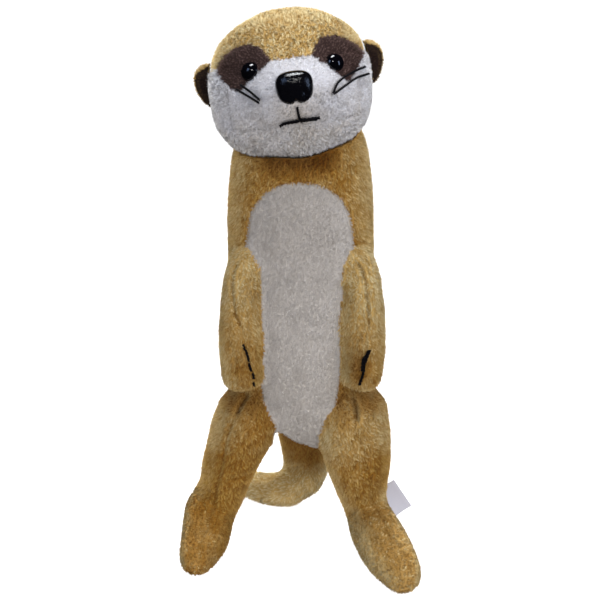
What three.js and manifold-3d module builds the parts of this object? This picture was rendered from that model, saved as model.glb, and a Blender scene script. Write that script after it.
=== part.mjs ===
// A stuffed plush toy meerkat, about 0.33 m tall, standing upright on two long feet and its tail.
// Millimetres, +Z up. The toy faces -Y, so its own left side is +X.
import * as THREE from "three";
import { mergeVertices } from "three/addons/utils/BufferGeometryUtils.js";
import Module from "manifold-3d";

const wasm = await Module();
wasm.setup();

// ---------------------------------------------------------------- driving dimensions

const GAP = 0.3; // clearance between pieces that touch
const LEFT = 1;
const RIGHT = -1;

const HEAD = {
  place: [-4.5, -5, 291.5],
  roll: 7.2, // degrees, the left ear is the higher one
  nod: 8, // degrees, muzzle raised
  turn: 3, // degrees, towards its left
  around: 26,
  along: 18,
  blend: 3.5, // width of the smooth joins between the forms of the head
};

// Each form of the head: centre and half-sizes, in the head's own frame.
const HEAD_FORMS = [
  { name: "skull", at: [-0.5, 3, 1.7], size: [42, 38, 38.4] },
  { name: "left temple", at: [15, 2, 11], size: [25, 28, 21.5] },
  { name: "right temple", at: [-17, 2, 10], size: [25, 28, 21.5] },
  { name: "left cheek", at: [18.5, -4, -12], size: [24, 28, 24.5] },
  { name: "right cheek", at: [-21.4, -4, -12], size: [25, 28, 25.2] },
  { name: "jaw", at: [0, -10, -17], size: [26, 27, 23.5] },
  { name: "muzzle", at: [0, -31, -5.5], size: [24.5, 25, 18.5] },
];

const HEAD_SEAMS = {
  crownHeight: 11.5, // of the tan crown above the head's centre, at its sides
  crownSlope: 0.06, // rise of that seam towards the front
  mouthHeight: -23.5,
  mouthSlope: 0.07,
  cheekHalfWidth: 36, // between the two seams beside the muzzle
  back: 8, // white cloth ends this far behind the head's centre
};

const EYE_PATCH = { depth: 4, corner: 0.28, facets: 16 };
const EYE = { across: 9.8, proud: 3.6, left: [22.8, 7.8], right: [-21.8, 9] };
const NOSE = { width: 20.6, height: 17.8, depth: 7, at: [-0.4, -0.8] };
const THREAD = 0.9; // diameter of the embroidery thread
const PAW_THREAD = 1.3; // the paw stitches are doubled
const WHISKER = 0.8; // diameter of a whisker thread
const EAR = {
  height: 25,
  reach: 14,
  thick: 5.2,
  at: [44.4, 3, 4.2],
  aside: -0.8,
  lift: 0.6, // the left ear is sewn on a little higher
  sweep: 40, // degrees, back from the side of the head
  rim: 2.4,
  lining: 1.6,
};

const TRUNK = { foot: 64, top: 296, around: 20, along: 18, panelDepth: 4 };
const NECK_HEIGHT = 240; // where the neck is parted from the trunk
const BELLY = { top: 240, widest: 203, halfWidth: 30.4, waist: 24, hem: 17, facets: 22 };

const ARM = { around: 14, along: 12, wrist: 133 };
const LEG = { around: 14, along: 10 };
const FOOT = { around: 14, along: 12, sunk: 1 };
const TAIL = { around: 12, along: 20 };
const TAG = { width: 14, length: 22, thick: 0.8 };

const CLOTH = {
  tan: { color: 0xa9834c, roughness: 0.95 },
  white: { color: 0xd8d3cf, roughness: 0.95 },
  brown: { color: 0x4a3732, roughness: 0.95 },
  dark: { color: 0x241714, roughness: 0.95 },
  tag: { color: 0xe9e9ea, roughness: 0.7 },
};
const PLASTIC = { color: 0x08090c, roughness: 0.12 };
const COTTON = { color: 0x0d0c10, roughness: 0.6 };

// ---------------------------------------------------------------- solids

const vec = (x, y, z) => new THREE.Vector3(x, y, z);
const { clamp, degToRad, lerp, smoothstep } = THREE.MathUtils;

function toSolid(geometry) {
  const bare = geometry.clone();
  bare.deleteAttribute("normal");
  bare.deleteAttribute("uv");
  const merged = mergeVertices(bare, 1e-4);
  const mesh = new wasm.Mesh({
    numProp: 3,
    vertProperties: merged.attributes.position.array,
    triVerts: new Uint32Array(merged.index.array),
  });
  return new wasm.Manifold(mesh);
}

function toGeometry(solid) {
  const mesh = solid.getMesh();
  const geometry = new THREE.BufferGeometry();
  const points = new Float32Array(mesh.vertProperties);
  geometry.setAttribute("position", new THREE.BufferAttribute(points, 3));
  geometry.setIndex(new THREE.BufferAttribute(new Uint32Array(mesh.triVerts), 1));
  return geometry;
}

const joined = (solids) => solids.reduce((sum, each) => sum.add(each));
const without = (solid, cutters) => cutters.reduce((left, each) => left.subtract(each), solid);

// The largest of the separate bodies that a cut leaves.
function mainBody(solid) {
  const bodies = solid.decompose();
  return bodies.sort((a, b) => b.volume() - a.volume())[0];
}

// A box between two corners.
function boxBetween(low, high) {
  const size = high.map((value, axis) => value - low[axis]);
  const box = new THREE.BoxGeometry(...size);
  box.translate(...low.map((value, axis) => value + size[axis] / 2));
  return toSolid(box);
}

// A sphere whose points are moved one by one: place(direction, fromPole, around) gives each one.
function shapedSphere(around, along, place) {
  const ball = new THREE.SphereGeometry(1, around, along);
  const points = ball.attributes.position;
  for (let i = 0; i < points.count; i++) {
    const unit = vec().fromBufferAttribute(points, i);
    const fromPole = Math.acos(clamp(unit.y, -1, 1));
    const angle = Math.atan2(unit.z, unit.x);
    const put = place(unit, fromPole, angle);
    points.setXYZ(i, put.x, put.y, put.z);
  }
  return toSolid(ball);
}

const smoothLine = (points) => new THREE.CatmullRomCurve3(points, false, "centripetal");

// A stuffed limb: round-ended, along a smooth curve through stations of
// [x, y, z, half-width, half-depth], widened all over by grow.
function limb(stations, { around, along, grow = 0, square = 2 }) {
  const curve = smoothLine(stations.map(([x, y, z]) => vec(x, y, z)));
  const girth = smoothLine(stations.map(([, , , width, depth]) => vec(width, depth, 0)));
  const length = curve.getLength();
  return shapedSphere(around, along, (unit, fromPole, angle) => {
    const t = (1 - Math.cos(fromPole)) / 2;
    const size = girth.getPoint(t);
    const capped = endRound(t, size.x / length, size.y / length);
    const centre = curve.getPoint(t);
    const tangent = curve.getTangent(t);
    const across = vec(1, 0, 0).addScaledVector(tangent, -tangent.x).normalize();
    const back = vec().crossVectors(tangent, across);
    const power = 2 / square;
    const c = Math.sign(Math.cos(angle)) * Math.abs(Math.cos(angle)) ** power;
    const s = Math.sign(Math.sin(angle)) * Math.abs(Math.sin(angle)) ** power;
    centre.addScaledVector(tangent, -Math.cos(fromPole) * grow);
    centre.addScaledVector(across, c * (size.x * capped + grow * Math.sin(fromPole) ** 0.5));
    centre.addScaledVector(back, s * (size.y * capped + grow * Math.sin(fromPole) ** 0.5));
    return centre;
  });
}

// Share of full girth at t, so that both ends of a limb close in a dome.
function endRound(t, capWidth, capDepth) {
  const cap = clamp((capWidth + capDepth) / 2, 0.02, 0.5);
  const reach = Math.min(t, 1 - t) / cap;
  return reach >= 1 ? 1 : Math.sqrt(1 - (1 - reach) ** 2);
}

// A tube of even diameter along a curve through points.
function thread(points, diameter, { sides = 6, steps }) {
  const section = new THREE.Shape();
  section.absarc(0, 0, diameter / 2, 0, 2 * Math.PI);
  const extrudePath = smoothLine(points);
  // A full circle is divided into twice its curve segments.
  const options = { steps, extrudePath, curveSegments: sides / 2, bevelEnabled: false };
  return toSolid(new THREE.ExtrudeGeometry(section, options));
}

// An outline in the XZ plane, extruded along Y between two depths.
function prism(shape, front, back) {
  const options = { depth: back - front, bevelEnabled: false };
  const geometry = new THREE.ExtrudeGeometry(shape, options);
  geometry.rotateX(Math.PI / 2);
  geometry.translate(0, back, 0);
  return toSolid(geometry);
}

// ---------------------------------------------------------------- head

const headFrame = new THREE.Matrix4().compose(
  vec(...HEAD.place),
  new THREE.Quaternion().setFromEuler(
    new THREE.Euler(-degToRad(HEAD.nod), -degToRad(HEAD.roll), degToRad(HEAD.turn), "ZYX"),
  ),
  vec(1, 1, 1),
);

// Smooth union of the head's forms: below zero inside, in millimetres near the surface.
function headField(point) {
  let sum = 0;
  for (const { at, size } of HEAD_FORMS) {
    const [x, y, z] = size.map((half, axis) => (point.getComponent(axis) - at[axis]) / half);
    const distance = (Math.hypot(x, y, z) - 1) * Math.min(...size);
    sum += Math.exp(-distance / HEAD.blend);
  }
  return -HEAD.blend * Math.log(sum);
}

// Distance from an inner point to the head's surface along a direction.
function headReach(from, direction) {
  let inside = 0;
  let outside = 120;
  for (let step = 0; step < 30; step++) {
    const middle = (inside + outside) / 2;
    const probe = from.clone().addScaledVector(direction, middle);
    if (headField(probe) < 0) inside = middle;
    else outside = middle;
  }
  return inside;
}

function headSolid(grow) {
  const origin = vec(0, 0, 0);
  return shapedSphere(HEAD.around, HEAD.along, (unit) => {
    const direction = vec(unit.x, -unit.z, unit.y);
    return direction.multiplyScalar(headReach(origin, direction) + grow);
  });
}

// The point of the face at x, z of the head's frame, lifted off the cloth.
function onFace(x, z, lift = 0) {
  const from = vec(x, -10, z);
  const point = from.clone().addScaledVector(vec(0, -1, 0), headReach(from, vec(0, -1, 0)));
  return point.addScaledVector(faceNormal(point), lift);
}

function faceNormal(point) {
  const step = 0.5;
  const slope = [0, 1, 2].map((axis) => {
    const ahead = point.clone();
    ahead.setComponent(axis, ahead.getComponent(axis) + step);
    return headField(ahead) - headField(point);
  });
  return vec(...slope).normalize();
}

// Rounded outline of the dark patch round an eye, from the nose out to the temple.
function eyePatchShape(side, grow) {
  const corners = [
    [12.8, 13.6],
    [17.4, 22.4],
    [24.8, 23.4],
    [37.6, 15.6],
    [41, 9.8],
    [32, -0.4],
    [26.6, 0.8],
  ];
  const middle = [27, 12];
  const outline = corners.map(([x, z]) => {
    const reach = Math.hypot(x - middle[0], z - middle[1]);
    const share = (reach + grow) / reach;
    const across = middle[0] + (x - middle[0]) * share;
    return vec(side * across, middle[1] + (z - middle[1]) * share, 0);
  });
  const loop = new THREE.CatmullRomCurve3(outline, true, "catmullrom", EYE_PATCH.corner);
  return flatShape(loop.getPoints(EYE_PATCH.facets).slice(0, -1));
}

const flatShape = (points) => new THREE.Shape(points.map(({ x, y }) => new THREE.Vector2(x, y)));

const REACH = 90; // beyond every part of the head

// Everything below a plane that rises by slope towards the front.
function belowPlane(height, slope) {
  const block = new THREE.BoxGeometry(2 * REACH, 2 * REACH, 2 * REACH);
  block.translate(0, 0, -REACH);
  block.applyMatrix4(new THREE.Matrix4().makeRotationX(-Math.atan(slope)));
  block.translate(0, 0, height);
  return toSolid(block);
}

function headPanels() {
  const whole = headSolid(0);
  const inner = headSolid(-EYE_PATCH.depth);
  const innerGap = headSolid(-EYE_PATCH.depth - GAP);
  const patchCut = (side, grow) => prism(eyePatchShape(side, grow), -REACH, 0);
  const patch = (side) => mainBody(whole.intersect(patchCut(side, 0)).subtract(inner));
  const pocket = (side) => patchCut(side, GAP).subtract(innerGap);
  const cloth = without(whole, [pocket(LEFT), pocket(RIGHT)]);

  const seams = HEAD_SEAMS;
  const half = GAP / 2;
  const edge = seams.cheekHalfWidth;
  const span = (x0, x1) => boxBetween([x0, -REACH, -REACH], [x1, REACH, REACH]);
  const ahead = (y) => boxBetween([-REACH, -REACH, -REACH], [REACH, y, REACH]);
  const belowCrown = (gap) => belowPlane(seams.crownHeight + gap, seams.crownSlope);
  const belowMouth = (gap) => belowPlane(seams.mouthHeight + gap, seams.mouthSlope);
  const white = cloth.intersect(belowCrown(-half)).intersect(ahead(seams.back - half));
  const notTan = belowCrown(half).intersect(ahead(seams.back + half));
  const face = white.subtract(belowMouth(half));
  return {
    crown: mainBody(cloth.subtract(notTan)),
    muzzle: mainBody(face.intersect(span(half - edge, edge - half))),
    chin: mainBody(white.intersect(belowMouth(-half))),
    cheek_left: mainBody(face.intersect(span(edge + half, REACH))),
    cheek_right: mainBody(face.intersect(span(-REACH, -edge - half))),
    eye_patch_left: patch(LEFT),
    eye_patch_right: patch(RIGHT),
  };
}

// Glossy half-round eye, seated on the cloth.
function eyeSolid(side, clear) {
  const seat = onFace(...(side === LEFT ? EYE.left : EYE.right));
  const out = faceNormal(seat);
  const turn = new THREE.Quaternion().setFromUnitVectors(vec(0, 1, 0), out);
  const half = EYE.across / 2;
  const dome = shapedSphere(14, 8, (unit) =>
    vec(unit.x * half, unit.y * EYE.proud, unit.z * half).applyQuaternion(turn).add(seat),
  );
  return mainBody(dome.subtract(clear));
}

// Rounded trapezoid with two lobes below and a shallow notch between them.
function noseSolid(clear) {
  const seat = onFace(...NOSE.at);
  const shaped = shapedSphere(16, 9, (unit) => {
    const x = Math.sign(unit.x) * Math.abs(unit.x) ** 0.86;
    const z = Math.sign(unit.y) * Math.abs(unit.y) ** 0.86;
    const taper = lerp(0.84, 1.02, (z + 1) / 2);
    const notch = 0.17 * Math.exp(-((x / 0.2) ** 2)) * smoothstep(-z, 0.1, 0.95);
    return vec(
      seat.x + (NOSE.width / 2) * x * taper,
      seat.y - NOSE.depth * (unit.z - 0.08),
      seat.z + (NOSE.height / 2) * (z + notch),
    );
  });
  return mainBody(shaped.subtract(clear));
}

// Embroidered mouth: one upright stitch that ends between two arms along the seam.
function mouthSolid() {
  const lift = THREAD / 2 + GAP + 0.15;
  const trace = (pairs) => pairs.map(([x, z]) => onFace(x, z, lift));
  const upright = thread(trace([[-0.6, -10.2], [-0.2, -14], [0.3, -17.2]]), THREAD, { steps: 3 });
  const arms = thread(
    trace([[-9.6, -19.6], [-7, -18.6], [-3.5, -17.7], [0, -17.3], [4, -17.2], [10.2, -17.9]]),
    THREAD,
    { steps: 10 },
  );
  return joined([upright, arms]);
}

// Two strands of thread that leave the muzzle together and part towards their ends.
function whiskerSolid(side) {
  const lift = WHISKER / 2 + GAP + 0.2;
  const root = side === LEFT ? onFace(17.2, -6.2, lift) : onFace(-16.6, -6.2, lift);
  const strand = ([x, z, stand], bow) => {
    const end = onFace(side * x, z, stand);
    const middle = root.clone().lerp(end, 0.5).add(bow);
    return thread([root, middle, end], WHISKER, { steps: 4 });
  };
  const ends = side === LEFT ? [[36.5, 4, 2.4], [38.4, -0.8, 2.4]] : [[27.5, 3, 2], [29, 0.9, 2]];
  return joined([
    strand(ends[0], vec(-side, -1.2, 1.2)),
    strand(ends[1], vec(side * 0.5, -1.4, -0.8)),
  ]);
}

// A small cupped ear: a half-round flap swept back from the side of the head.
function earSolids(side, clear) {
  const { reach, height, thick, rim, lining } = EAR;
  const flap = (inset, depth, forward) => {
    return shapedSphere(12, 8, (unit) => {
      const taper = lerp(0.72, 1.08, (unit.y + 1) / 2);
      const across = unit.x * (reach - inset) * taper;
      return vec(across, -unit.z * depth - forward, unit.y * (height / 2 - inset));
    });
  };
  const cup = thick * 0.9;
  const ahead = thick * 0.75;
  const back = flap(0, thick / 2, 0).subtract(flap(rim, cup, ahead));
  const filling = flap(GAP, thick / 2, 0).intersect(flap(rim + GAP, cup, ahead + GAP));
  const inner = filling.subtract(flap(rim + 1, cup, ahead + GAP + lining));
  const place = new THREE.Matrix4().compose(
    vec(side * EAR.at[0] + EAR.aside, EAR.at[1], EAR.at[2] + side * EAR.lift),
    new THREE.Quaternion().setFromEuler(new THREE.Euler(0, 0, side * degToRad(EAR.sweep))),
    vec(side, 1, 1),
  );
  const put = (solid) => mainBody(toSolid(toFacing(toGeometry(solid), place)).subtract(clear));
  return { back: put(back), lining: put(inner) };
}

// A geometry moved by a matrix, with its faces turned over where the matrix mirrors it.
function toFacing(geometry, matrix) {
  const moved = geometry.applyMatrix4(matrix);
  if (matrix.determinant() > 0) return moved;
  const order = moved.index.array;
  for (let i = 0; i < order.length; i += 3) [order[i], order[i + 1]] = [order[i + 1], order[i]];
  return moved;
}

// ---------------------------------------------------------------- body

// Stations up the trunk and neck: centre, half-width and half-depth.
const TRUNK_STATIONS = [
  [5, -2, TRUNK.foot, 17, 15],
  [2.5, -1, 79, 29, 24],
  [0, -1, 96, 38.4, 31],
  [0, 0, 113, 41, 35.6],
  [0.5, -1, 137, 42.5, 36.5],
  [0.5, -1, 166, 42.8, 36],
  [0.3, 0, 195, 43.4, 35],
  [0.3, 1, 218, 42.9, 34],
  [0.3, 1, 236, 41.5, 33],
  [0.2, 0, 250, 39.2, 31.5],
  [0, -1, 264, 36.6, 30],
  [0, -2, TRUNK.top, 34, 28],
];

function trunkSolid(grow) {
  const { around, along } = TRUNK;
  return limb(TRUNK_STATIONS, { around, along, grow, square: 2.15 });
}

function armStations(side) {
  const out = side === LEFT ? 1.6 : -0.6;
  return [
    [side * (28.4 + out), -16.5, 201, 11, 11],
    [side * (31.8 + out), -22.5, 184, 12.8, 13],
    [side * (34.2 + out), -26.5, 162, 13.5, 13.6],
    [side * (34.8 + out), -29, 141, 13.5, 13.4],
    [side * (34.3 + out), -31, 126, 12.8, 12.6],
    [side * (33.4 + out), -32, 115, 11.2, 11],
  ];
}

const armSolid = (side) => limb(armStations(side), { around: ARM.around, along: ARM.along });

const LEG_STATIONS = {
  left: [
    [24.6, -6, 116, 16.6, 19.5],
    [30.4, -12.5, 94, 23, 23.5],
    [34, -13, 70, 22.6, 23],
    [37.2, -9, 48, 18.4, 21],
    [40, -6, 28, 14.8, 19],
    [41.5, -6, 15, 14, 18],
  ],
  right: [
    [-21.6, -6, 116, 15.4, 19.5],
    [-29, -12.5, 94, 20.8, 23.5],
    [-38.6, -12, 71, 19.4, 22],
    [-45.8, -7, 48, 15.8, 20],
    [-51, -3, 28, 15.6, 19],
    [-54, -3, 15, 15, 18],
  ],
};

// Heel to toe: x, y, half-height, half-width.
const FOOT_LINES = {
  left: [
    [41, 6, 15, 12.4],
    [42.2, -9, 20, 13.2],
    [46.8, -28, 18.5, 15],
    [53.6, -48, 15, 15.6],
    [59.8, -63, 12.4, 12.8],
    [63.8, -75.4, 10.2, 8.6],
  ],
  right: [
    [-54, 12, 15, 14],
    [-56.6, -4, 20, 16],
    [-57.6, -21, 18.5, 15.8],
    [-59.4, -35, 15, 14.2],
    [-62.6, -47, 12.4, 11],
    [-65, -56.6, 10.2, 8],
  ],
};

function legSolid(name, grow) {
  const { around, along } = LEG;
  return limb(LEG_STATIONS[name], { around, along, grow });
}

const aboveFloor = (solid) => solid.subtract(boxBetween([-200, -200, -60], [200, 200, 0]));

function footSolid(name, grow) {
  const stations = FOOT_LINES[name].map(([x, y, high, wide]) => [x, y, high - FOOT.sunk, wide, high]);
  const { around, along } = FOOT;
  return aboveFloor(limb(stations, { around, along, grow, square: 2.3 }));
}

// Rump to tip: x, y, z, half-thickness.
const TAIL_LINE = [
  [0, 20, 92, 17],
  [0, 34, 76, 17.6],
  [2, 45, 53, 17.6],
  [4.5, 47, 31, 16.5],
  [0, 39, 16, 14.8],
  [-15, 36, 11.6, 12],
  [-32, 46, 9.6, 9.8],
  [-46, 60, 7.6, 8],
];

function tailSolid(grow) {
  const curve = smoothLine(TAIL_LINE.map(([x, y, z]) => vec(x, y, z)));
  const girth = smoothLine(TAIL_LINE.map(([, , , half]) => vec(half, 0, 0)));
  const length = curve.getLength();
  const steps = TAIL.along;
  const frames = curve.computeFrenetFrames(steps * 8, false);
  const tail = shapedSphere(TAIL.around, steps, (unit, fromPole, angle) => {
    const t = (1 - Math.cos(fromPole)) / 2;
    const index = Math.round(t * steps * 8);
    const half = girth.getPoint(t).x;
    const reach = half * endRound(t, half / length, half / length) + grow * Math.sin(fromPole) ** 0.5;
    const centre = curve.getPoint(t);
    centre.addScaledVector(frames.tangents[index], -Math.cos(fromPole) * grow);
    centre.addScaledVector(frames.normals[index], Math.cos(angle) * reach);
    centre.addScaledVector(frames.binormals[index], Math.sin(angle) * reach);
    return centre;
  });
  return aboveFloor(tail);
}

// Outline of the pale belly panel: a round top between the arms, narrowing down to the crotch.
function bellyShape(grow) {
  const { top, widest, halfWidth, waist, hem } = BELLY;
  const outline = [
    [hem, TRUNK.foot - 20],
    [hem, 80],
    [waist - 2, 105],
    [waist, 130],
    [waist + 2, 160],
    [waist + 5, 181],
    [halfWidth, widest],
    [halfWidth * 0.86, lerp(widest, top, 0.56)],
    [halfWidth * 0.5, lerp(widest, top, 0.88)],
  ];
  const half = outline.map(([x, z]) => vec(x + grow, z, 0));
  const mirrored = half.map(({ x, y }) => vec(-x, y, 0)).reverse();
  const curve = new THREE.CatmullRomCurve3([...half, vec(0, top + grow, 0), ...mirrored]);
  return flatShape(curve.getPoints(BELLY.facets));
}

// Black stitch down the front of a paw.
function pawStitch(side, arm) {
  const line = [[0.2, 145.5], [1.7, 139], [2.9, 131.5], [4.1, 124.5]];
  const lean = 2.4;
  const points = line.map(([inward, z]) => {
    const x = armStations(side)[4][0] - side * inward + lean;
    return vec(x, frontOf(arm, x, z) - PAW_THREAD / 2 - GAP - 0.2, z);
  });
  return thread(points, PAW_THREAD, { steps: 5 });
}

// Lowest y that a solid reaches at x, z.
function frontOf(solid, x, z) {
  const probe = boxBetween([x - 0.2, -200, z - 0.2], [x + 0.2, 200, z + 0.2]);
  return solid.intersect(probe).boundingBox().min[1];
}

// Blank woven tag, sewn into the outer seam of the left leg.
function tagSolid(clear) {
  const tag = new THREE.BoxGeometry(TAG.width, TAG.thick, TAG.length);
  tag.rotateZ(degToRad(12));
  tag.rotateY(degToRad(-32));
  tag.translate(60, 6.5, 21.5);
  return mainBody(without(toSolid(tag), clear));
}

// ---------------------------------------------------------------- assembly

const group = new THREE.Group();

function addNode(name, solid, finish) {
  const material = new THREE.MeshStandardMaterial({ metalness: 0, ...finish });
  const mesh = new THREE.Mesh(toGeometry(solid), material);
  mesh.name = name;
  group.add(mesh);
}

function inHead(solid) {
  return toSolid(toGeometry(solid).applyMatrix4(headFrame));
}

const headWide = headSolid(GAP);
const headWideInBody = inHead(headWide);

function addHead() {
  const panels = headPanels();
  const cloth = { crown: CLOTH.tan, eye_patch_left: CLOTH.brown, eye_patch_right: CLOTH.brown };
  for (const [name, solid] of Object.entries(panels)) {
    addNode(name, inHead(solid), cloth[name] ?? CLOTH.white);
  }
  for (const [name, side] of [["left", LEFT], ["right", RIGHT]]) {
    const ear = earSolids(side, headWide);
    addNode(`ear_${name}`, inHead(ear.back), CLOTH.tan);
    addNode(`ear_lining_${name}`, inHead(ear.lining), CLOTH.dark);
    addNode(`eye_${name}`, inHead(eyeSolid(side, headWide)), PLASTIC);
    addNode(`whiskers_${name}`, inHead(whiskerSolid(side)), COTTON);
  }
  addNode("nose", inHead(noseSolid(headWide)), PLASTIC);
  addNode("mouth", inHead(mouthSolid()), COTTON);
}

function addTrunk() {
  const whole = trunkSolid(0);
  const inner = trunkSolid(-TRUNK.panelDepth);
  const innerGap = trunkSolid(-TRUNK.panelDepth - GAP);
  const panel = whole.intersect(prism(bellyShape(0), -REACH, 0)).subtract(inner);
  const pocket = prism(bellyShape(GAP), -REACH, GAP).subtract(innerGap);
  const above = boxBetween([-REACH, -REACH, NECK_HEIGHT + GAP], [REACH, REACH, 400]);
  const below = boxBetween([-REACH, -REACH, 0], [REACH, REACH, NECK_HEIGHT]);
  const tan = whole.subtract(pocket);
  addNode("neck", mainBody(tan.intersect(above).subtract(headWideInBody)), CLOTH.tan);
  addNode("trunk", mainBody(tan.intersect(below)), CLOTH.tan);
  addNode("belly_panel", mainBody(panel), CLOTH.white);
}

function addLimbs() {
  const trunkWide = trunkSolid(GAP);
  const wristCut = (low, high) => boxBetween([-REACH, -REACH, low], [REACH, REACH, high]);
  for (const [name, side] of [["left", LEFT], ["right", RIGHT]]) {
    const arm = armSolid(side).subtract(trunkWide);
    const legWide = legSolid(name, GAP);
    const clearArm = arm.subtract(legWide);
    addNode(`arm_${name}`, mainBody(clearArm.intersect(wristCut(ARM.wrist + GAP, 300))), CLOTH.tan);
    addNode(`paw_${name}`, mainBody(clearArm.intersect(wristCut(0, ARM.wrist))), CLOTH.tan);
    addNode(`paw_stitch_${name}`, pawStitch(side, armSolid(side)), COTTON);
    const footWide = footSolid(name, GAP);
    const leg = without(legSolid(name, 0), [trunkWide, footWide]);
    addNode(`leg_${name}`, mainBody(leg), CLOTH.tan);
    addNode(`foot_${name}`, footSolid(name, 0), CLOTH.tan);
  }
  addNode("tag", tagSolid([legSolid("left", GAP), footSolid("left", GAP)]), CLOTH.tag);
}

function addTail() {
  const clear = [trunkSolid(GAP), legSolid("left", GAP), legSolid("right", GAP)];
  clear.push(footSolid("left", GAP), footSolid("right", GAP));
  const tail = mainBody(without(tailSolid(0), clear));
  const bend = 30;
  const tip = -17;
  const upper = boxBetween([-REACH, -REACH, bend + GAP], [REACH, 2 * REACH, 300]);
  const middle = boxBetween([tip + GAP, -REACH, -1], [REACH, 2 * REACH, bend]);
  const end = boxBetween([-2 * REACH, -REACH, -1], [tip, 2 * REACH, bend]);
  addNode("tail_base", mainBody(tail.intersect(upper)), CLOTH.tan);
  addNode("tail_middle", mainBody(tail.intersect(middle)), CLOTH.tan);
  addNode("tail_tip", mainBody(tail.intersect(end)), CLOTH.tan);
}

addHead();
addTrunk();
addLimbs();
addTail();

// The origin is the middle of the underside.
const bounds = new THREE.Box3().setFromObject(group);
const middle = bounds.getCenter(vec());
group.position.set(-middle.x, -middle.y, -bounds.min.z);

export default group;
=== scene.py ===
"""The looks of a stuffed plush toy meerkat: cloth, its short pile, plastic eyes and nose, thread and a tag.

Shapes are worked out in millimetres, in the frame of the CAD model, and become metres in new_piece. Most
values for a skin are arrays with one entry for each of its points.
"""

import math
from collections import namedtuple
from itertools import product

import bmesh
import bpy
import numpy as np
from mathutils import Matrix, Vector
from mathutils.bvhtree import BVHTree


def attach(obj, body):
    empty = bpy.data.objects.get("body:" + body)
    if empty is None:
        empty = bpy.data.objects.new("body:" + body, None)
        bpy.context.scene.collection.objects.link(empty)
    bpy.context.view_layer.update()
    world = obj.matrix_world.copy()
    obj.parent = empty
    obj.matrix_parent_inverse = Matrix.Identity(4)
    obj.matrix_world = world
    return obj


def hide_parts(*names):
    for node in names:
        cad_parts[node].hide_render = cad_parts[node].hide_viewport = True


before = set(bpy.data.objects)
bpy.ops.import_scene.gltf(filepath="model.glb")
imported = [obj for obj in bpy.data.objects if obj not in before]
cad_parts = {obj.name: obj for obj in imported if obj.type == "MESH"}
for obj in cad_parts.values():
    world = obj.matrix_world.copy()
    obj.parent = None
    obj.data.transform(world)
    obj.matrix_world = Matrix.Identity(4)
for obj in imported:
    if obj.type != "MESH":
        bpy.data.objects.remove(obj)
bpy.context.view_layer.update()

MM = 0.001
DENSITY = 1.0  # share of the pile that is made
GRID = 64  # numbers along each side of a table of random ones, which then repeats
FAR_OFF = 1000  # keeps the places in such a table above nothing

# ------------------------------------------------------------------ small tools


def unit(vectors):
    """Vectors of length one."""
    vectors = np.asarray(vectors, float)
    length = np.linalg.norm(vectors, axis=-1, keepdims=True)
    return vectors / np.maximum(length, 1e-12)


def dot(a, b):
    return (a * b).sum(-1)


def flattened(vectors, normal):
    """Vectors without their part along the normal."""
    return vectors - normal * dot(vectors, normal)[:, None]


def smooth(low, high, value):
    """From 0 at low to 1 at high, with soft ends."""
    share = np.clip((value - low) / (high - low), 0, 1)
    return share * share * (3 - 2 * share)


def lump(value, centre, width):
    """1 at the centre, falling smoothly to nothing at about twice the width from it."""
    return np.exp(-(((value - centre) / width) ** 2))


def mix(a, b, share):
    share = np.asarray(share)[..., None]
    return np.asarray(a) * (1 - share) + np.asarray(b) * share


def rgb(red, green, blue):
    """A screen colour, from 0 to 255, as linear light."""
    screen = np.array([red, green, blue]) / 255
    return np.where(screen <= 0.04045, screen / 12.92, ((screen + 0.055) / 1.055) ** 2.4)


def noise(points, size, seed):
    """Smooth noise from -1 to 1, in lumps about size across."""
    table = np.random.default_rng(seed).uniform(-1, 1, (GRID, GRID, GRID))
    at = points / size + FAR_OFF
    cell = np.floor(at).astype(int)
    part = at - cell
    part = part * part * (3 - 2 * part)
    total = np.zeros(len(points))
    for corner in product((0, 1), repeat=3):
        index = (cell + corner) % GRID
        weight = np.where(np.array(corner, bool), part, 1 - part).prod(1)
        total += weight * table[index[:, 0], index[:, 1], index[:, 2]]
    return total


def noise3(points, size, seed):
    """Noise for each of the three axes."""
    return np.stack([noise(points, size, seed + axis) for axis in range(3)], 1)


def clumps(points, size, seed):
    """Each point's clump, out of clumps scattered about size apart.

    Returns the clump's centre, a random number from 0 to 1 for it, and how near its edge the point lies,
    from 0 in the middle to 1 between two clumps.
    """
    table = np.random.default_rng(seed).random((GRID, GRID, GRID, 4))
    cell = np.floor(points / size + FAR_OFF).astype(int)
    best = np.full(len(points), np.inf)
    second = np.full(len(points), np.inf)
    centre = points.copy()
    luck = np.zeros(len(points))
    for step in product((-1, 0, 1), repeat=3):
        near = cell + step
        entry = table[tuple(near.T % GRID)]
        place = (near + entry[:, :3] - FAR_OFF) * size
        distance = np.linalg.norm(place - points, axis=1)
        closer = distance < best
        second = np.where(closer, best, np.minimum(second, distance))
        best[closer] = distance[closer]
        centre[closer] = place[closer]
        luck[closer] = entry[closer, 3]
    return centre, luck, smooth(0.26, 0.03, (second - best) / size)


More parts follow.
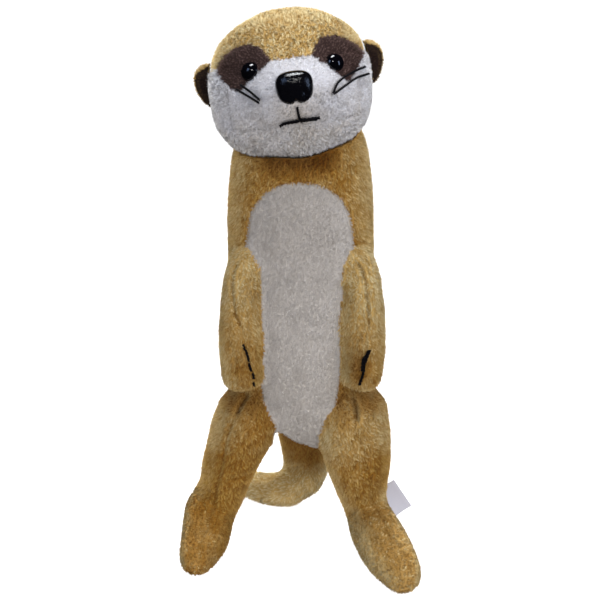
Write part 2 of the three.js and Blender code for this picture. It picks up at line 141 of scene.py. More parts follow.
def along(points, line):
    """The place on a line nearest to each point.

    Returns how far along the line it is, the line's direction there and the way from it to the point.
    """
    line = np.array(line, float)
    steps = np.diff(line, axis=0)
    lengths = np.linalg.norm(steps, axis=1)
    before = np.concatenate([[0], np.cumsum(lengths)])
    turns = unit(np.concatenate([steps[:1], steps[:-1] + steps[1:], steps[-1:]]))
    best = np.full(len(points), np.inf)
    place = np.zeros(len(points))
    direction = np.zeros((len(points), 3))
    offset = np.zeros((len(points), 3))
    for i, (step, length) in enumerate(zip(steps, lengths)):
        free = (points - line[i]) @ step / length**2
        held = np.clip(free, 0, 1)
        away = points - line[i] - held[:, None] * step
        distance = np.linalg.norm(away, axis=1)
        closer = distance < best
        first, last = i == 0, i == len(steps) - 1
        past = np.clip(free, -9 if first else 0, 9 if last else 1)
        best[closer] = distance[closer]
        place[closer] = (before[i] + past * length)[closer]
        direction[closer] = unit(mix(turns[i], turns[i + 1], held))[closer]
        offset[closer] = away[closer]
    return place, direction, offset


def through(a, b, c, d, f):
    """The places at share f of the way from b to c on smooth curves through a, b, c and d."""
    return 0.5 * (2 * b + (c - a) * f + (2 * a - 5 * b + 4 * c - d) * f**2 + (3 * b - a - 3 * c + d) * f**3)


def rounded(line, count):
    """A smooth curve of count points through the points of a line."""
    line = np.array(line, float)
    padded = np.concatenate([2 * line[:1] - line[1:2], line, 2 * line[-1:] - line[-2:-1]])
    t = np.linspace(0, len(line) - 1, count)
    i = np.minimum(t.astype(int), len(line) - 2)
    return through(padded[i], padded[i + 1], padded[i + 2], padded[i + 3], (t - i)[:, None])


def rounded_loop(line, count):
    """A smooth closed curve of count points through the points of a line."""
    line = np.array(line, float)
    t = np.arange(count) / count * len(line)
    i = t.astype(int)
    return through(*(line[(i + k) % len(line)] for k in (-1, 0, 1, 2)), (t - i)[:, None])


def within(flat, outline):
    """Distance from flat points to an outline, above zero inside it."""
    best = np.full(len(flat), np.inf)
    inside = np.zeros(len(flat), bool)
    for a, b in zip(outline, np.roll(outline, -1, axis=0)):
        step = b - a
        share = np.clip((flat - a) @ step / (step @ step), 0, 1)
        best = np.minimum(best, np.linalg.norm(flat - a - share[:, None] * step, axis=1))
        spans = (a[1] > flat[:, 1]) != (b[1] > flat[:, 1])
        rise = step[1] if abs(step[1]) > 1e-12 else 1e-12
        inside ^= spans & (flat[:, 0] < a[0] + (flat[:, 1] - a[1]) * step[0] / rise)
    return np.where(inside, best, -best)


def net(rows, columns, closed=True):
    """Four-sided faces between rows of points, each row a ring if closed."""
    faces = []
    for i in range(rows - 1):
        for j in range(columns if closed else columns - 1):
            k = (j + 1) % columns
            faces.append((i * columns + j, i * columns + k, (i + 1) * columns + k, (i + 1) * columns + j))
    return np.array(faces)


def turned_out(faces):
    """The same faces seen from their other side, with the same first corners."""
    return faces[:, [0, 3, 2, 1]]


def placed(name, data):
    """A new object in the scene."""
    item = bpy.data.objects.new(name, data)
    bpy.context.scene.collection.objects.link(item)
    return item


# ------------------------------------------------------------------ the head's own frame

HEAD_AT = np.array([-3.87, 1.19, 291.5])
HEAD_TURNS = [(3, "Z"), (-7.2, "Y"), (-8, "X")]  # degrees of yaw, roll and nod
YAW, ROLL, NOD = (Matrix.Rotation(math.radians(angle), 3, axis) for angle, axis in HEAD_TURNS)
HEAD_AXES = np.array(YAW @ ROLL @ NOD)


def to_head(points):
    """Points in the head's own frame: x to its left, y back, z up."""
    return (points - HEAD_AT) @ HEAD_AXES


def from_head(points):
    return np.asarray(points, float) @ HEAD_AXES.T + HEAD_AT


# ------------------------------------------------------------------ camera and light

LAMPS = [  # name, place, aim, size, power, colour and whether gloss shows it
    ("lamp_key", (0.82, -1.4, 0.9), (0, 0, 0.15), (1.1, 0.7), 15.5, (1.0, 1.0, 1.0), False),
    ("lamp_bounce", (-0.1, -0.5, -0.4), (0, 0, 0.15), (1.2, 1.0), 3.6, (1.0, 0.98, 0.97), False),
    ("lamp_over", (-0.03, 0.0, 0.9), (0, -0.03, 0.28), (0.3, 0.16), 2.9, (0.94, 0.97, 1.0), True),
    ("lamp_left", (-0.55, -0.62, 0.85), (0, 0, 0.28), (0.3, 0.4), 1.2, (0.42, 0.6, 1.0), True),
    ("lamp_right", (0.62, -0.35, 0.5), (0, 0, 0.28), (0.15, 0.4), 0.8, (0.5, 0.66, 1.0), True),
    ("lamp_rim_left", (-0.6, 0.5, 0.3), (0, 0, 0.17), (0.5, 0.7), 5.5, (1.0, 0.96, 0.84), False),
    ("lamp_rim_right", (0.6, 0.5, 0.3), (0, 0, 0.17), (0.5, 0.7), 4.5, (1.0, 0.96, 0.84), False),
    ("lamp_rim_top", (0, 0.55, 0.8), (0, 0, 0.3), (0.7, 0.4), 4.0, (1.0, 0.96, 0.84), False),
    ("lamp_strip", (0.02, -0.62, 0.75), (0, 0, 0.28), (0.16, 0.035), 0.5, (1.0, 0.99, 0.97), True),
]


def add_camera():
    camera = bpy.data.cameras.new("camera")
    camera.lens = 75
    camera.sensor_width = 36
    camera.clip_start = 0.05
    holder = placed("camera", camera)
    holder.location = (0.0006, -0.6938, 0.42)
    holder.rotation_euler = (math.radians(90 - 20.4), 0, 0)
    bpy.context.scene.camera = holder


def add_lamp(name, place, aim, size, power, colour, in_gloss):
    lamp = bpy.data.lights.new(name, "AREA")
    lamp.shape = "RECTANGLE"
    lamp.size, lamp.size_y = size
    lamp.energy = power
    lamp.color = colour
    holder = placed(name, lamp)
    holder.location = place
    holder.rotation_euler = (Vector(aim) - Vector(place)).to_track_quat("-Z", "Y").to_euler()
    holder.visible_glossy = in_gloss


def sweep_mesh(flat, bend, height):
    """A round floor whose edge curves up into a wall."""
    profile = [(0.02, 0), (flat * 0.5, 0), (flat, 0)]
    for angle in np.linspace(0, math.pi / 2, 13)[1:]:
        profile.append((flat + bend * math.sin(angle), bend * (1 - math.cos(angle))))
    profile.append((flat + bend, height))
    around = 96
    turns = np.linspace(0, 2 * math.pi, around, endpoint=False)
    points = [(r * math.cos(a), r * math.sin(a), z) for r, z in profile for a in turns]
    faces = [tuple(range(around))] + turned_out(net(len(profile), around)).tolist()
    mesh = bpy.data.meshes.new("sweep")
    mesh.from_pydata(points, [], faces)
    mesh.shade_smooth()
    return mesh


def add_studio():
    for lamp in LAMPS:
        add_lamp(*lamp)

    world = bpy.data.worlds.new("studio")
    bpy.context.scene.world = world
    world.use_nodes = True
    light = world.node_tree.nodes["Background"]
    light.inputs["Color"].default_value = (0.98, 0.99, 1.0, 1)
    light.inputs["Strength"].default_value = 0.44
    world.cycles_visibility.glossy = False

    floor = placed("floor", sweep_mesh(2.2, 1.0, 4.0))
    paper = new_material("floor_paper", (0.5, 0.5, 0.5), roughness=0.9)
    shader = paper.node_tree.nodes["Principled BSDF"]
    shader.inputs["Emission Color"].default_value = (1, 1, 1, 1)
    shader.inputs["Emission Strength"].default_value = 0.98
    floor.data.materials.append(paper)
    floor.visible_diffuse = False
    floor.visible_glossy = False
    floor.visible_shadow = False
    bpy.context.scene.view_settings.view_transform = "Standard"


# ------------------------------------------------------------------ materials


def new_material(name, colour, roughness, sheen=0.0, specular=0.5):
    material = bpy.data.materials.new(name)
    material.use_nodes = True
    shader = material.node_tree.nodes["Principled BSDF"]
    shader.inputs["Base Color"].default_value = (*colour, 1)
    shader.inputs["Roughness"].default_value = roughness
    shader.inputs["Specular IOR Level"].default_value = specular
    shader.inputs["Sheen Weight"].default_value = sheen
    shader.inputs["Sheen Roughness"].default_value = 0.4
    return material


def add_bump(material, size, strength, depth, stretch=(1, 1, 1), detail=3):
    """Fine relief from noise in lumps of size metres."""
    nodes, links = material.node_tree.nodes, material.node_tree.links
    place = nodes.new("ShaderNodeTexCoord")
    scaled = nodes.new("ShaderNodeMapping")
    scaled.inputs["Scale"].default_value = stretch
    grain = nodes.new("ShaderNodeTexNoise")
    grain.inputs["Scale"].default_value = 1 / size
    grain.inputs["Detail"].default_value = detail
    bump = nodes.new("ShaderNodeBump")
    bump.inputs["Strength"].default_value = strength
    bump.inputs["Distance"].default_value = depth
    links.new(place.outputs["Object"], scaled.inputs[0])
    links.new(scaled.outputs[0], grain.inputs["Vector"])
    links.new(grain.outputs[0], bump.inputs["Height"])
    links.new(bump.outputs[0], nodes["Principled BSDF"].inputs["Normal"])


def painted_material(name, roughness, sheen, tint, bump_size=None):
    """Takes its colour from the mesh's paint."""
    material = new_material(name, (0.5, 0.5, 0.5), roughness, sheen, specular=0.15)
    nodes, links = material.node_tree.nodes, material.node_tree.links
    paint = nodes.new("ShaderNodeAttribute")
    paint.attribute_name = "paint"
    links.new(paint.outputs["Color"], nodes["Principled BSDF"].inputs["Base Color"])
    nodes["Principled BSDF"].inputs["Sheen Tint"].default_value = (*tint, 1)
    if bump_size:
        add_bump(material, bump_size, 0.8, 0.0006, stretch=(1, 1, 0.5))
    return material


# ------------------------------------------------------------------ meshes


def new_piece(name, points, faces, material, paint=None, normals=None, uv=None):
    """A mesh object from points in millimetres and equal-sided faces."""
    faces = np.asarray(faces)
    mesh = bpy.data.meshes.new(name)
    mesh.vertices.add(len(points))
    mesh.vertices.foreach_set("co", (np.asarray(points) * MM).astype(np.float32).ravel())
    mesh.loops.add(faces.size)
    mesh.loops.foreach_set("vertex_index", faces.astype(np.int32).ravel())
    mesh.polygons.add(len(faces))
    mesh.polygons.foreach_set("loop_start", np.arange(0, faces.size, faces.shape[1], dtype=np.int32))
    mesh.update(calc_edges=True)
    mesh.shade_smooth()
    if paint is not None:
        layer = mesh.color_attributes.new("paint", "FLOAT_COLOR", "POINT")
        full = np.concatenate([paint, np.ones((len(paint), 1))], 1)
        layer.data.foreach_set("color", full.astype(np.float32).ravel())
    if uv is not None:
        layer = mesh.uv_layers.new(name="OFBake")
        layer.uv.foreach_set("vector", uv[faces.ravel()].astype(np.float32).ravel())
    if normals is not None:
        mesh.normals_split_custom_set_from_vertices(normals.astype(np.float32))
    piece = placed(name, mesh)
    mesh.materials.append(material)
    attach(piece, "root")
    return piece


def swollen_node(name, grow):
    """Points and triangles of a CAD node in millimetres, with its surface moved out by grow."""
    form = bmesh.new()
    form.from_mesh(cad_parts[name].data)
    bmesh.ops.remove_doubles(form, verts=form.verts, dist=1e-6)
    bmesh.ops.triangulate(form, faces=form.faces)
    form.normal_update()
    points = np.array([v.co + v.normal * grow * MM for v in form.verts]) / MM
    triangles = np.array([[v.index for v in f.verts] for f in form.faces])
    form.free()
    return points, triangles


def face_normals(points, quads):
    a, b, c, d = (points[quads[:, k]] for k in range(4))
    return np.cross(c - a, d - b)


def point_normals(points, quads):
    """Smooth normals of a mesh of four-sided faces."""
    faces = face_normals(points, quads)
    total = np.zeros_like(points)
    for k in range(4):
        for axis in range(3):
            total[:, axis] += np.bincount(quads[:, k], faces[:, axis], len(points))
    return unit(total)


def remeshed(points, triangles, voxel):
    """Points and four-sided faces of one closed surface round a mesh, from a grid of cells voxel wide."""
    mesh = bpy.data.meshes.new("rough")
    mesh.from_pydata((points * MM).tolist(), [], triangles.tolist())
    rough = placed("rough", mesh)
    remesh = rough.modifiers.new("remesh", "REMESH")
    remesh.mode = "VOXEL"
    remesh.voxel_size = voxel * MM
    found = rough.evaluated_get(bpy.context.evaluated_depsgraph_get()).to_mesh()
    places = np.empty(len(found.vertices) * 3, np.float32)
    found.vertices.foreach_get("co", places)
    quads = np.empty(len(found.loops), np.int32)
    found.loops.foreach_get("vertex_index", quads)
    bpy.data.objects.remove(rough)
    bpy.data.meshes.remove(mesh)
    return places.reshape(-1, 3).astype(float) / MM, quads.reshape(-1, 4)


class Skin:
    """A smooth closed cloth surface round some CAD nodes.

    The values that the pile needs are set later, one for each point: lie is the way it lies, size its
    share of the full length, rough how unruly it is (where it is low the roots are painted paler, as
    painted light), deep how far its colour is from the usual one, partly the cloth's own and partly
    painted light and shade, and shade how much painted shade dims it.
    """

    SWELL = 0.5  # closes the gaps between the nodes before they are joined

    def __init__(self, names, voxel, rounds):
        self.names = names
        shapes = [swollen_node(name, self.SWELL) for name in names]
        starts = np.cumsum([0] + [len(points) for points, _ in shapes])
        points = np.concatenate([points for points, _ in shapes])
        triangles = np.concatenate([faces + start for (_, faces), start in zip(shapes, starts)])
        owner = np.concatenate([np.full(len(faces), i) for i, (_, faces) in enumerate(shapes)])
        self.points, self.quads = remeshed(points, triangles, voxel)
        self.degree = 2 * np.bincount(self.quads.ravel(), minlength=len(self.points))
        self.fair(rounds)
        tree = BVHTree.FromPolygons(points.tolist(), triangles.tolist())
        nearest = [tree.find_nearest(point)[2] for point in self.points.tolist()]
        self.node = owner[np.array(nearest)]
        self.refresh()

    def refresh(self):
        """Works the normals out again after the points have moved."""
        self.normals = point_normals(self.points, self.quads)

    def averaged(self, values):
        """Each point's values averaged over its neighbours."""
        total = np.zeros_like(values, float)
        for k in range(4):
            for a, b in ((k, (k + 1) % 4), ((k + 1) % 4, k)):
                for axis in range(values.shape[1]):
                    theirs = values[self.quads[:, b], axis]
                    total[:, axis] += np.bincount(self.quads[:, a], theirs, len(values))
        return total / self.degree[:, None]

    def fair(self, rounds):
        """Smooths small facets away and then gives the form its size back."""
        smoothed = self.points
        for _ in range(rounds):
            smoothed = smoothed + 0.5 * (self.averaged(smoothed) - smoothed)
        lost = self.points - smoothed
        for _ in range(2 * rounds):
            lost = lost + 0.5 * (self.averaged(lost) - lost)
        self.points = smoothed + lost

    def spread_out(self, values):
        """For each point the highest value among its neighbours, a little less."""
        highest = values[self.quads].max(1)
        grown = values.copy()
        for k in range(4):
            np.maximum.at(grown, self.quads[:, k], highest * 0.9)
        return grown

    def push(self, depth):
        """Moves the surface inwards by a depth for each point."""
        self.points = self.points - self.normals * np.asarray(depth)[..., None]

    def is_on(self, *starts):
        """Which points are nearest to nodes whose names start so."""
        chosen = [name.startswith(starts) for name in self.names]
        return np.array(chosen)[self.node]

    def tree(self):
        return BVHTree.FromPolygons(self.points.tolist(), self.quads.tolist())

    def groove(self, line, width, depth, fade):
        """A dent along a line laid on the surface. Returns how far down it each point is, from 0 to 1."""
        tree = self.tree()
        laid = np.array([tree.find_nearest(point)[0] for point in rounded(line, 60).tolist()])
        place, _, offset = along(self.points, laid)
        total = np.linalg.norm(np.diff(laid, axis=0), axis=1).sum()
        share = np.clip(place / total, 0, 1)
        ends = smooth(0, fade, share) * smooth(0, fade, 1 - share)
        deep = lump(np.linalg.norm(offset, axis=1), 0, width) * ends
        self.push(deep * depth)
        return deep

    def make_bumpy(self, wide, fine, seed):
        """Small bumps of the filling, in lumps of two sizes."""
        relief = 0.3 * noise(self.points, wide, seed) + 0.15 * noise(self.points, fine, seed + 1)
        self.points += self.normals * relief[:, None]


# ------------------------------------------------------------------ where things are on the toy

BODY_NODES = ["neck", "trunk", "belly_panel", "arm_left", "arm_right", "paw_left", "paw_right"]
BODY_NODES += ["leg_left", "leg_right", "foot_left", "foot_right", "tail_base", "tail_middle", "tail_tip"]
HEAD_NODES = ["crown", "muzzle", "chin", "cheek_left", "cheek_right", "eye_patch_left", "eye_patch_right"]

GROUPS = {  # part of the body: how the names of its nodes start
    "trunk": ("trunk", "belly", "neck"),
    "arm_left": ("arm_left", "paw_left"),
    "arm_right": ("arm_right", "paw_right"),
    "leg_left": ("leg_left",),
    "leg_right": ("leg_right",),
    "foot_left": ("foot_left",),
    "foot_right": ("foot_right",),
    "tail": ("tail",),
}

ARMS = ("arm_left", "arm_right")
LEGS = ("leg_left", "leg_right")
FEET = ("foot_left", "foot_right")

LINES = {  # part of the body: its middle line, the way its pile lies
    "trunk": [(0.5, 5, 60), (0.5, 5, 300)],
    "arm_left": [
        (30.5, -10.5, 201), (34, -16.5, 184), (36.5, -20.5, 162),
        (37, -23, 141), (36.5, -25, 126), (35.5, -26, 115),
    ],
    "arm_right": [
        (-27, -10.5, 201), (-30.5, -16.5, 184), (-33, -20.5, 162),
        (-33.5, -23, 141), (-33, -25, 126), (-32, -26, 115),
    ],
    "leg_left": [(25, 0, 116), (31, -6.5, 94), (34.5, -7, 70), (38, -3, 48), (40.5, 0, 28), (42, 0, 10)],
    "leg_right": [
        (-21, 0, 116), (-28.5, -6.5, 94), (-38, -6, 71),
        (-45, -1, 48), (-50.5, 3, 28), (-53.5, 3, 10),
    ],
    "foot_left": [
        (41.5, 16, 17), (43, -3, 19), (47.5, -22, 17.5),
        (54, -42, 14), (60.5, -57, 11.5), (64.5, -69, 9),
    ],
    "foot_right": [
        (-53.5, 20, 17), (-56, 2, 19), (-57, -15, 17.5),
        (-59, -29, 14), (-62, -41, 11.5), (-64.5, -50.5, 9),
    ],
    "tail": [
        (0.5, 26, 92), (0.5, 40, 76), (2.5, 51, 53), (5, 53, 31),
        (0.5, 45, 16), (-14.5, 42, 11.5), (-31.5, 52, 9.5), (-45.5, 66, 7.5),
    ],
}

ARM_SEAMS = [
    [
        (-34.5, -22, 196.5), (-37.5, -25.5, 188), (-38.5, -28.5, 179),
        (-37, -32, 168.5), (-35, -33.5, 162), (-32, -34.5, 155),
    ],
    [
        (31, -22.5, 197.5), (36.5, -28, 188.5), (38.5, -30, 181),
        (39.5, -32, 171.5), (40, -33, 163), (40.5, -34, 155),
    ],
]
LEG_SEAMS = [
    [
        (34, -26, 102), (35.5, -29.5, 88), (38.5, -29.5, 78), (43, -25, 55.5),
        (45, -21.5, 45.5), (48, -24, 36.5), (54.5, -43, 29), (64.5, -59.5, 23),
    ],
    [
        (-36.5, -24, 102), (-42, -25.5, 88), (-46.5, -24, 67), (-51.5, -18, 41),
        (-53.5, -22.5, 33.5), (-58, -43.5, 23), (-59, -50, 17),
    ],
]
HIP_FOLDS = [
    [(32, -19, 113), (32.5, -21.5, 109.5), (33.5, -24, 106), (34, -26, 102.5), (34, -28, 99), (35, -29, 93)],
    [(-31, -19, 113), (-32, -20, 110), (-35, -22.5, 105), (-37, -24.5, 101), (-39, -25.5, 96)],
]
ANKLE_FOLD = [(-27, -10, 54), (-31, -20, 55), (-35.5, -22.5, 55.5), (-41, -23.5, 55.5), (-46.5, -23, 56)]
BACK_SEAM = [(0.5, 40, 258), (0.5, 42, 230), (0.5, 42.5, 190), (0.5, 43, 150), (0.5, 42, 115), (0.5, 36, 96)]
TAIL_SEAM = [
    (0.5, 58, 84), (2.5, 68.5, 55), (4.5, 68, 31), (2, 58, 12), (-14.5, 54, 10), (-30, 61, 9.5), (-44, 72, 8),
]
GROOVES = [  # lines of seams or folds, width, depth, share that fades out at each end, shade
    (ARM_SEAMS, 1.2, 1.2, 0.15, 0.42),
    (LEG_SEAMS, 1.5, 0.9, 0.15, 0.2),
    (HIP_FOLDS, 1.7, 3.0, 0.3, 0.75),
    ([ANKLE_FOLD], 1.7, 1.7, 0.3, 0.35),
    ([BACK_SEAM], 1.2, 0.9, 0.15, 0.35),
    ([TAIL_SEAM], 1.2, 0.8, 0.15, 0.35),
]

MIDDLE_X = 0.63  # the belly panel is the same on both sides of this
BELLY_SIDE = [
    (16, 40), (16.5, 80), (21, 105), (24, 130), (26, 160), (29, 181), (30.6, 203), (26.3, 224), (15.4, 236),
]
BELLY = [(MIDDLE_X + x, z) for x, z in BELLY_SIDE] + [(MIDDLE_X, 240)]
BELLY += [(MIDDLE_X - x, z) for x, z in reversed(BELLY_SIDE)]

PATCHES = [  # outlines of the brown cloth round the eyes, across and up in the head's frame
    [
        (11.9, 13.1), (14.4, 18.4), (18.6, 22.5), (26.6, 21.6), (34.2, 17.5),
        (40.4, 11.8), (37.6, 6), (30.4, -2), (25.9, 0.2), (19.4, 6.6),
    ],
    [
        (-11, 13), (-12.6, 17.9), (-17.4, 22.8), (-25.6, 23.5), (-33, 20),
        (-38.6, 14.6), (-39.2, 10.5), (-36.4, 5.4), (-29.2, -0.6), (-20.4, 7.2),
    ],
]
EYE_AT = {1: (22.8, 7.8), -1: (-21.8, 9.2)}  # side of the head: across and up in its frame
NOSE_AT = (-0.2, -50.5, -1.0)  # in the head's frame
NOSE_SIZE = (10.6, 7.0, 8.8)  # half its width, how far it stands out, and half its height
PAW_STITCHES = {  # side: across and up
    "left": [(39.5, 144.5), (37.5, 138.5), (37, 132), (36, 127.5), (35, 123.5)],
    "right": [(-31.5, 148), (-30, 142), (-28.5, 134.5), (-27, 128.5), (-26.5, 122)],
}
OUTSIDE = -9.0  # stands for any distance well outside an outline
AHEAD = -110  # well in front of the toy
EYE_RADIUS, EYE_DEPTH = 5.2, 3.9


def belly_share(points):
    """How far inside the belly panel's outline each point is. The back counts as outside."""
    inside = within(points[:, [0, 2]], rounded(BELLY, 90))
    return np.where(points[:, 1] < 2, inside, OUTSIDE)


def patch_share(place):
    """The same for the eye patches, from places in the head's frame."""
    inside = np.full(len(place), OUTSIDE)
    for corners in PATCHES:
        inside = np.maximum(inside, within(place[:, [0, 2]], rounded_loop(corners, 60)))
    return np.where(place[:, 1] < 2, inside, OUTSIDE)


def white_share(place):
    """The same for the white of the face."""
    below = 11.5 - 0.06 * place[:, 1] - place[:, 2]
    return np.minimum(below, 8 - place[:, 1])


# ------------------------------------------------------------------ colours of the cloth

# Each root is darker than its tip as painted shade deep in the pile; DEEP is the browner tan.
TAN_ROOT, TAN_TIP = rgb(181, 143, 78), rgb(234, 219, 172)
DEEP_ROOT, DEEP_TIP = rgb(143, 97, 32), rgb(206, 168, 90)
CREAM_ROOT, CREAM_TIP = rgb(178, 170, 162), rgb(208, 203, 199)
WHITE_ROOT, WHITE_TIP = rgb(196, 193, 196), rgb(229, 230, 237)
BEIGE_ROOT, BEIGE_TIP = rgb(181, 170, 158), rgb(223, 222, 221)
BROWN_ROOT, BROWN_TIP = rgb(41, 29, 27), rgb(112, 89, 83)
DARK_ROOT, DARK_TIP = rgb(24, 15, 13), rgb(58, 42, 38)
DARKEST, LIGHTEST = 0.002, 0.95


def dimmed(colour, tone_and_shade):
    """The colour in less light: the dimmer the pile, the more of its own hue it shows."""
    own = colour / colour.max(axis=1, keepdims=True)
    dimmer = colour * np.maximum(tone_and_shade, 0.02)[:, None] ** (0.94 + 0.45 * (1 - own))
    return np.clip(dimmer, DARKEST, LIGHTEST)


def skin_paint(skin, paint):
    """The colour of the cloth below the pile, dimmed by its painted shade; where the pile is smooth its roots
    are painted paler, as painted light.
    """
    root, tip = paint(skin.points, skin.deep)
    return dimmed(mix(root, tip, 0.1 + 0.4 * (1 - skin.rough)), 1 - 0.8 * skin.shade)


def parting(points, size, seed):
    """From 0 to 1 along thin winding lines where the pile opens. There the paint darkens the tips towards the
    roots' colour, as painted shade.
    """
    winding = noise(points, size, seed) + 0.4 * noise(points, size * 0.45, seed + 1)
    return smooth(0.26, 0.03, np.abs(winding))


def uneven(colour, points, seed, amount):
    """A colour for each point, made uneven in wide soft areas and in small ones."""
    wide = noise(points, 16, seed) * 0.55
    fine = noise(points, 4.5, seed + 7) * 0.45
    return np.asarray(colour) * (1 + amount * (wide + fine))[:, None]


def tan_paint(points, deep):
    """Root and tip colours of the tan plush, deep where it is browner. Along partings the tips take the
    darker root colour, as painted shade.
    """
    brown = np.clip(deep + 0.25 * noise(points, 12, 13) + 0.22 * noise(points, 4, 14), -0.3, 1)
    opened = parting(points, 2.6, 17)
    root = mix(TAN_ROOT, DEEP_ROOT, brown)
    tip = mix(mix(TAN_TIP, DEEP_TIP, brown), mix(TAN_ROOT, DEEP_ROOT, brown), 0.75 * opened)
    return uneven(root, points, 11, 0.14), uneven(tip, points, 12, 0.12)


def cream_paint(points, deep):
    opened = parting(points, 2.2, 27)
    # Along partings the tips take the darker root colour, as painted shade.
    tip = mix(CREAM_TIP, CREAM_ROOT, 0.35 * opened)
    return uneven(CREAM_ROOT, points, 21, 0.05), uneven(tip, points, 22, 0.04)


def trunk_paint(points, deep):
    """Tan, with the pale panel down the front."""
    pale = smooth(-0.4, 0.4, belly_share(points) + 0.7 * noise(points, 1.6, 5))
    return [mix(tan, cream, pale) for tan, cream in zip(tan_paint(points, deep), cream_paint(points, deep))]


def head_paint(points, deep):
    """Tan crown, white face and brown eye patches. On the white, deep is how beige it is, which also carries
    the painted shade of the pile.
    """
    deep = np.clip(deep, 0, 1)
    place = to_head(points)
    ragged = 0.8 * noise(points, 1.8, 6)
    white = smooth(-0.5, 0.5, white_share(place) + ragged)
    dark = smooth(-0.5, 0.5, patch_share(place) + ragged)
    opened = parting(points, 2.0, 37)[:, None] * deep[:, None]
    x, y, _ = place.T
    # The crown's tan is paler than the body's, painted light at its rims; browner down its middle, and
    # towards the head's left as painted shade.
    tans = tan_paint(points, (0.35 * lump(x, 0, 24) + 0.3 * smooth(8, 34, x)) * smooth(20, 0, y) - 0.4)
    # Along partings the white tips are dimmer: painted shade.
    whites = [mix(WHITE_ROOT, BEIGE_ROOT, deep), mix(WHITE_TIP, BEIGE_TIP, deep) * (1 - 0.25 * opened)]
    browns = [uneven(BROWN_ROOT, points, 51, 0.2), uneven(BROWN_TIP, points, 52, 0.2)]
    return [mix(mix(tan, pale, white), brown, dark) for tan, pale, brown in zip(tans, whites, browns)]


# ------------------------------------------------------------------ the pile


# How a pile grows: its tufts to the square millimetre; their length, width, lean in degrees from upright
# and curl; the size of clumps, how far tufts are pulled to the middle of theirs, and how open gaps are,
# which also sets how much painted shade lies in the gaps.
Style = namedtuple("Style", "density length width lean curl clump pull gaps")
LONG_PILE = Style(3.7, 2.3, 0.5, 55, 0.32, 1.5, 0.6, 0.8)
BELLY_PILE = Style(5.0, 1.4, 0.37, 38, 1.0, 1.1, 0.45, 0.2)
FOOT_PILE = Style(4.2, 2.0, 0.5, 50, 0.7, 1.8, 0.7, 1.0)
CROWN_PILE = Style(6.0, 2.3, 0.42, 50, 0.9, 1.35, 0.6, 1.0)
NAPE_PILE = CROWN_PILE._replace(density=3.8, width=0.52)
FACE_PILE = Style(6.5, 1.35, 0.34, 56, 0.5, 1.3, 0.6, 0.7)
CHIN_PILE = Style(6.0, 1.8, 0.38, 50, 0.7, 1.5, 0.6, 0.6)
PATCH_PILE = Style(7.0, 1.3, 0.34, 48, 0.5, 1.3, 0.6, 0.6)
EAR_PILE = Style(6.0, 1.5, 0.34, 55, 0.25, 1.2, 0.6, 0.6)

SUNK = 0.3  # how far the foot of a tuft is below the cloth
LOWEST = 0.05  # no tuft goes below this height
TUFT_SIDES = np.array([[0, 1, 3], [1, 2, 3], [2, 0, 3]])
TUFT_ON_MAP = 0.003  # width of a tuft's own triangle on the flat map
MAP_EDGE = 0.001


def scattered(skin, quads, density, rng):
    """Scatters tufts over faces of a skin. Returns a function that gives the skin's values at each tuft."""
    area = np.linalg.norm(face_normals(skin.points, quads), axis=1) / 2
    count = np.floor(area * density * DENSITY + rng.random(len(area))).astype(int)
    which = np.repeat(np.arange(len(count)), count)
    order = np.arange(len(which)) - np.repeat(np.cumsum(count) - count, count)
    u = (order + rng.random(len(which))) / np.repeat(count, count)
    v = (order * 0.618 + rng.random(len(which)) * 0.5 + np.repeat(rng.random(len(count)), count)) % 1
    weights = np.stack([(1 - u) * (1 - v), u * (1 - v), u * v, (1 - u) * v], 1)
    corners = quads[which]

    def at_tufts(values):
        columns = values.reshape(len(values), -1)
        found = (columns[corners] * weights[:, :, None]).sum(1)
        return found if values.ndim > 1 else found[:, 0]

    return at_tufts


def brushed(root, normal, lie, curl, luck, rng):
    """The way along the surface that each tuft lies: that of the pile, curled and a little unruly."""
    lie = unit(flattened(lie, normal))
    swirl = (noise3(root, 6, 71) + 0.8 * noise3(root, 2.2, 74)) * curl[:, None]
    angle = (luck - 0.5) * 2 * math.pi * curl
    turned = lie * np.cos(angle)[:, None] + np.cross(normal, lie) * np.sin(angle)[:, None]
    unruly = unit(turned + swirl + rng.normal(0, 0.13, root.shape))
    return unit(flattened(unruly, normal))


def tuft_paint(skin, at_tufts, paint, gaps, gap, luck, rng):
    """The colours of each tuft's foot and of its tip, browner and dimmer under the skin's painted shade. gap
    is how far into a gap the tuft is; there its tip takes the foot's colour and dims, as painted shade. Where
    the pile is smooth the foot is painted paler, as painted light.
    """
    root = at_tufts(skin.points)
    shade = at_tufts(skin.shade)
    deep = at_tufts(skin.deep) + 0.6 * gaps * (0.5 - luck) + 1.2 * shade
    root_paint, tip_paint = paint(root, deep)
    root_paint = mix(root_paint, tip_paint, 0.3 * (1 - at_tufts(skin.rough)))
    tip_paint = mix(tip_paint, root_paint, gap)
    # A random tone for each tuft, lowered in gaps as painted shade, then dimmed by the skin's painted shade.
    tone_and_shade = 1.03 + rng.normal(0, 0.04 + 0.1 * gaps, len(root)) + 0.25 * gaps * (luck - 0.5) - 0.5 * gap
    tone_and_shade = tone_and_shade * (1 - shade)
    return dimmed(root_paint, tone_and_shade), dimmed(tip_paint, tone_and_shade)


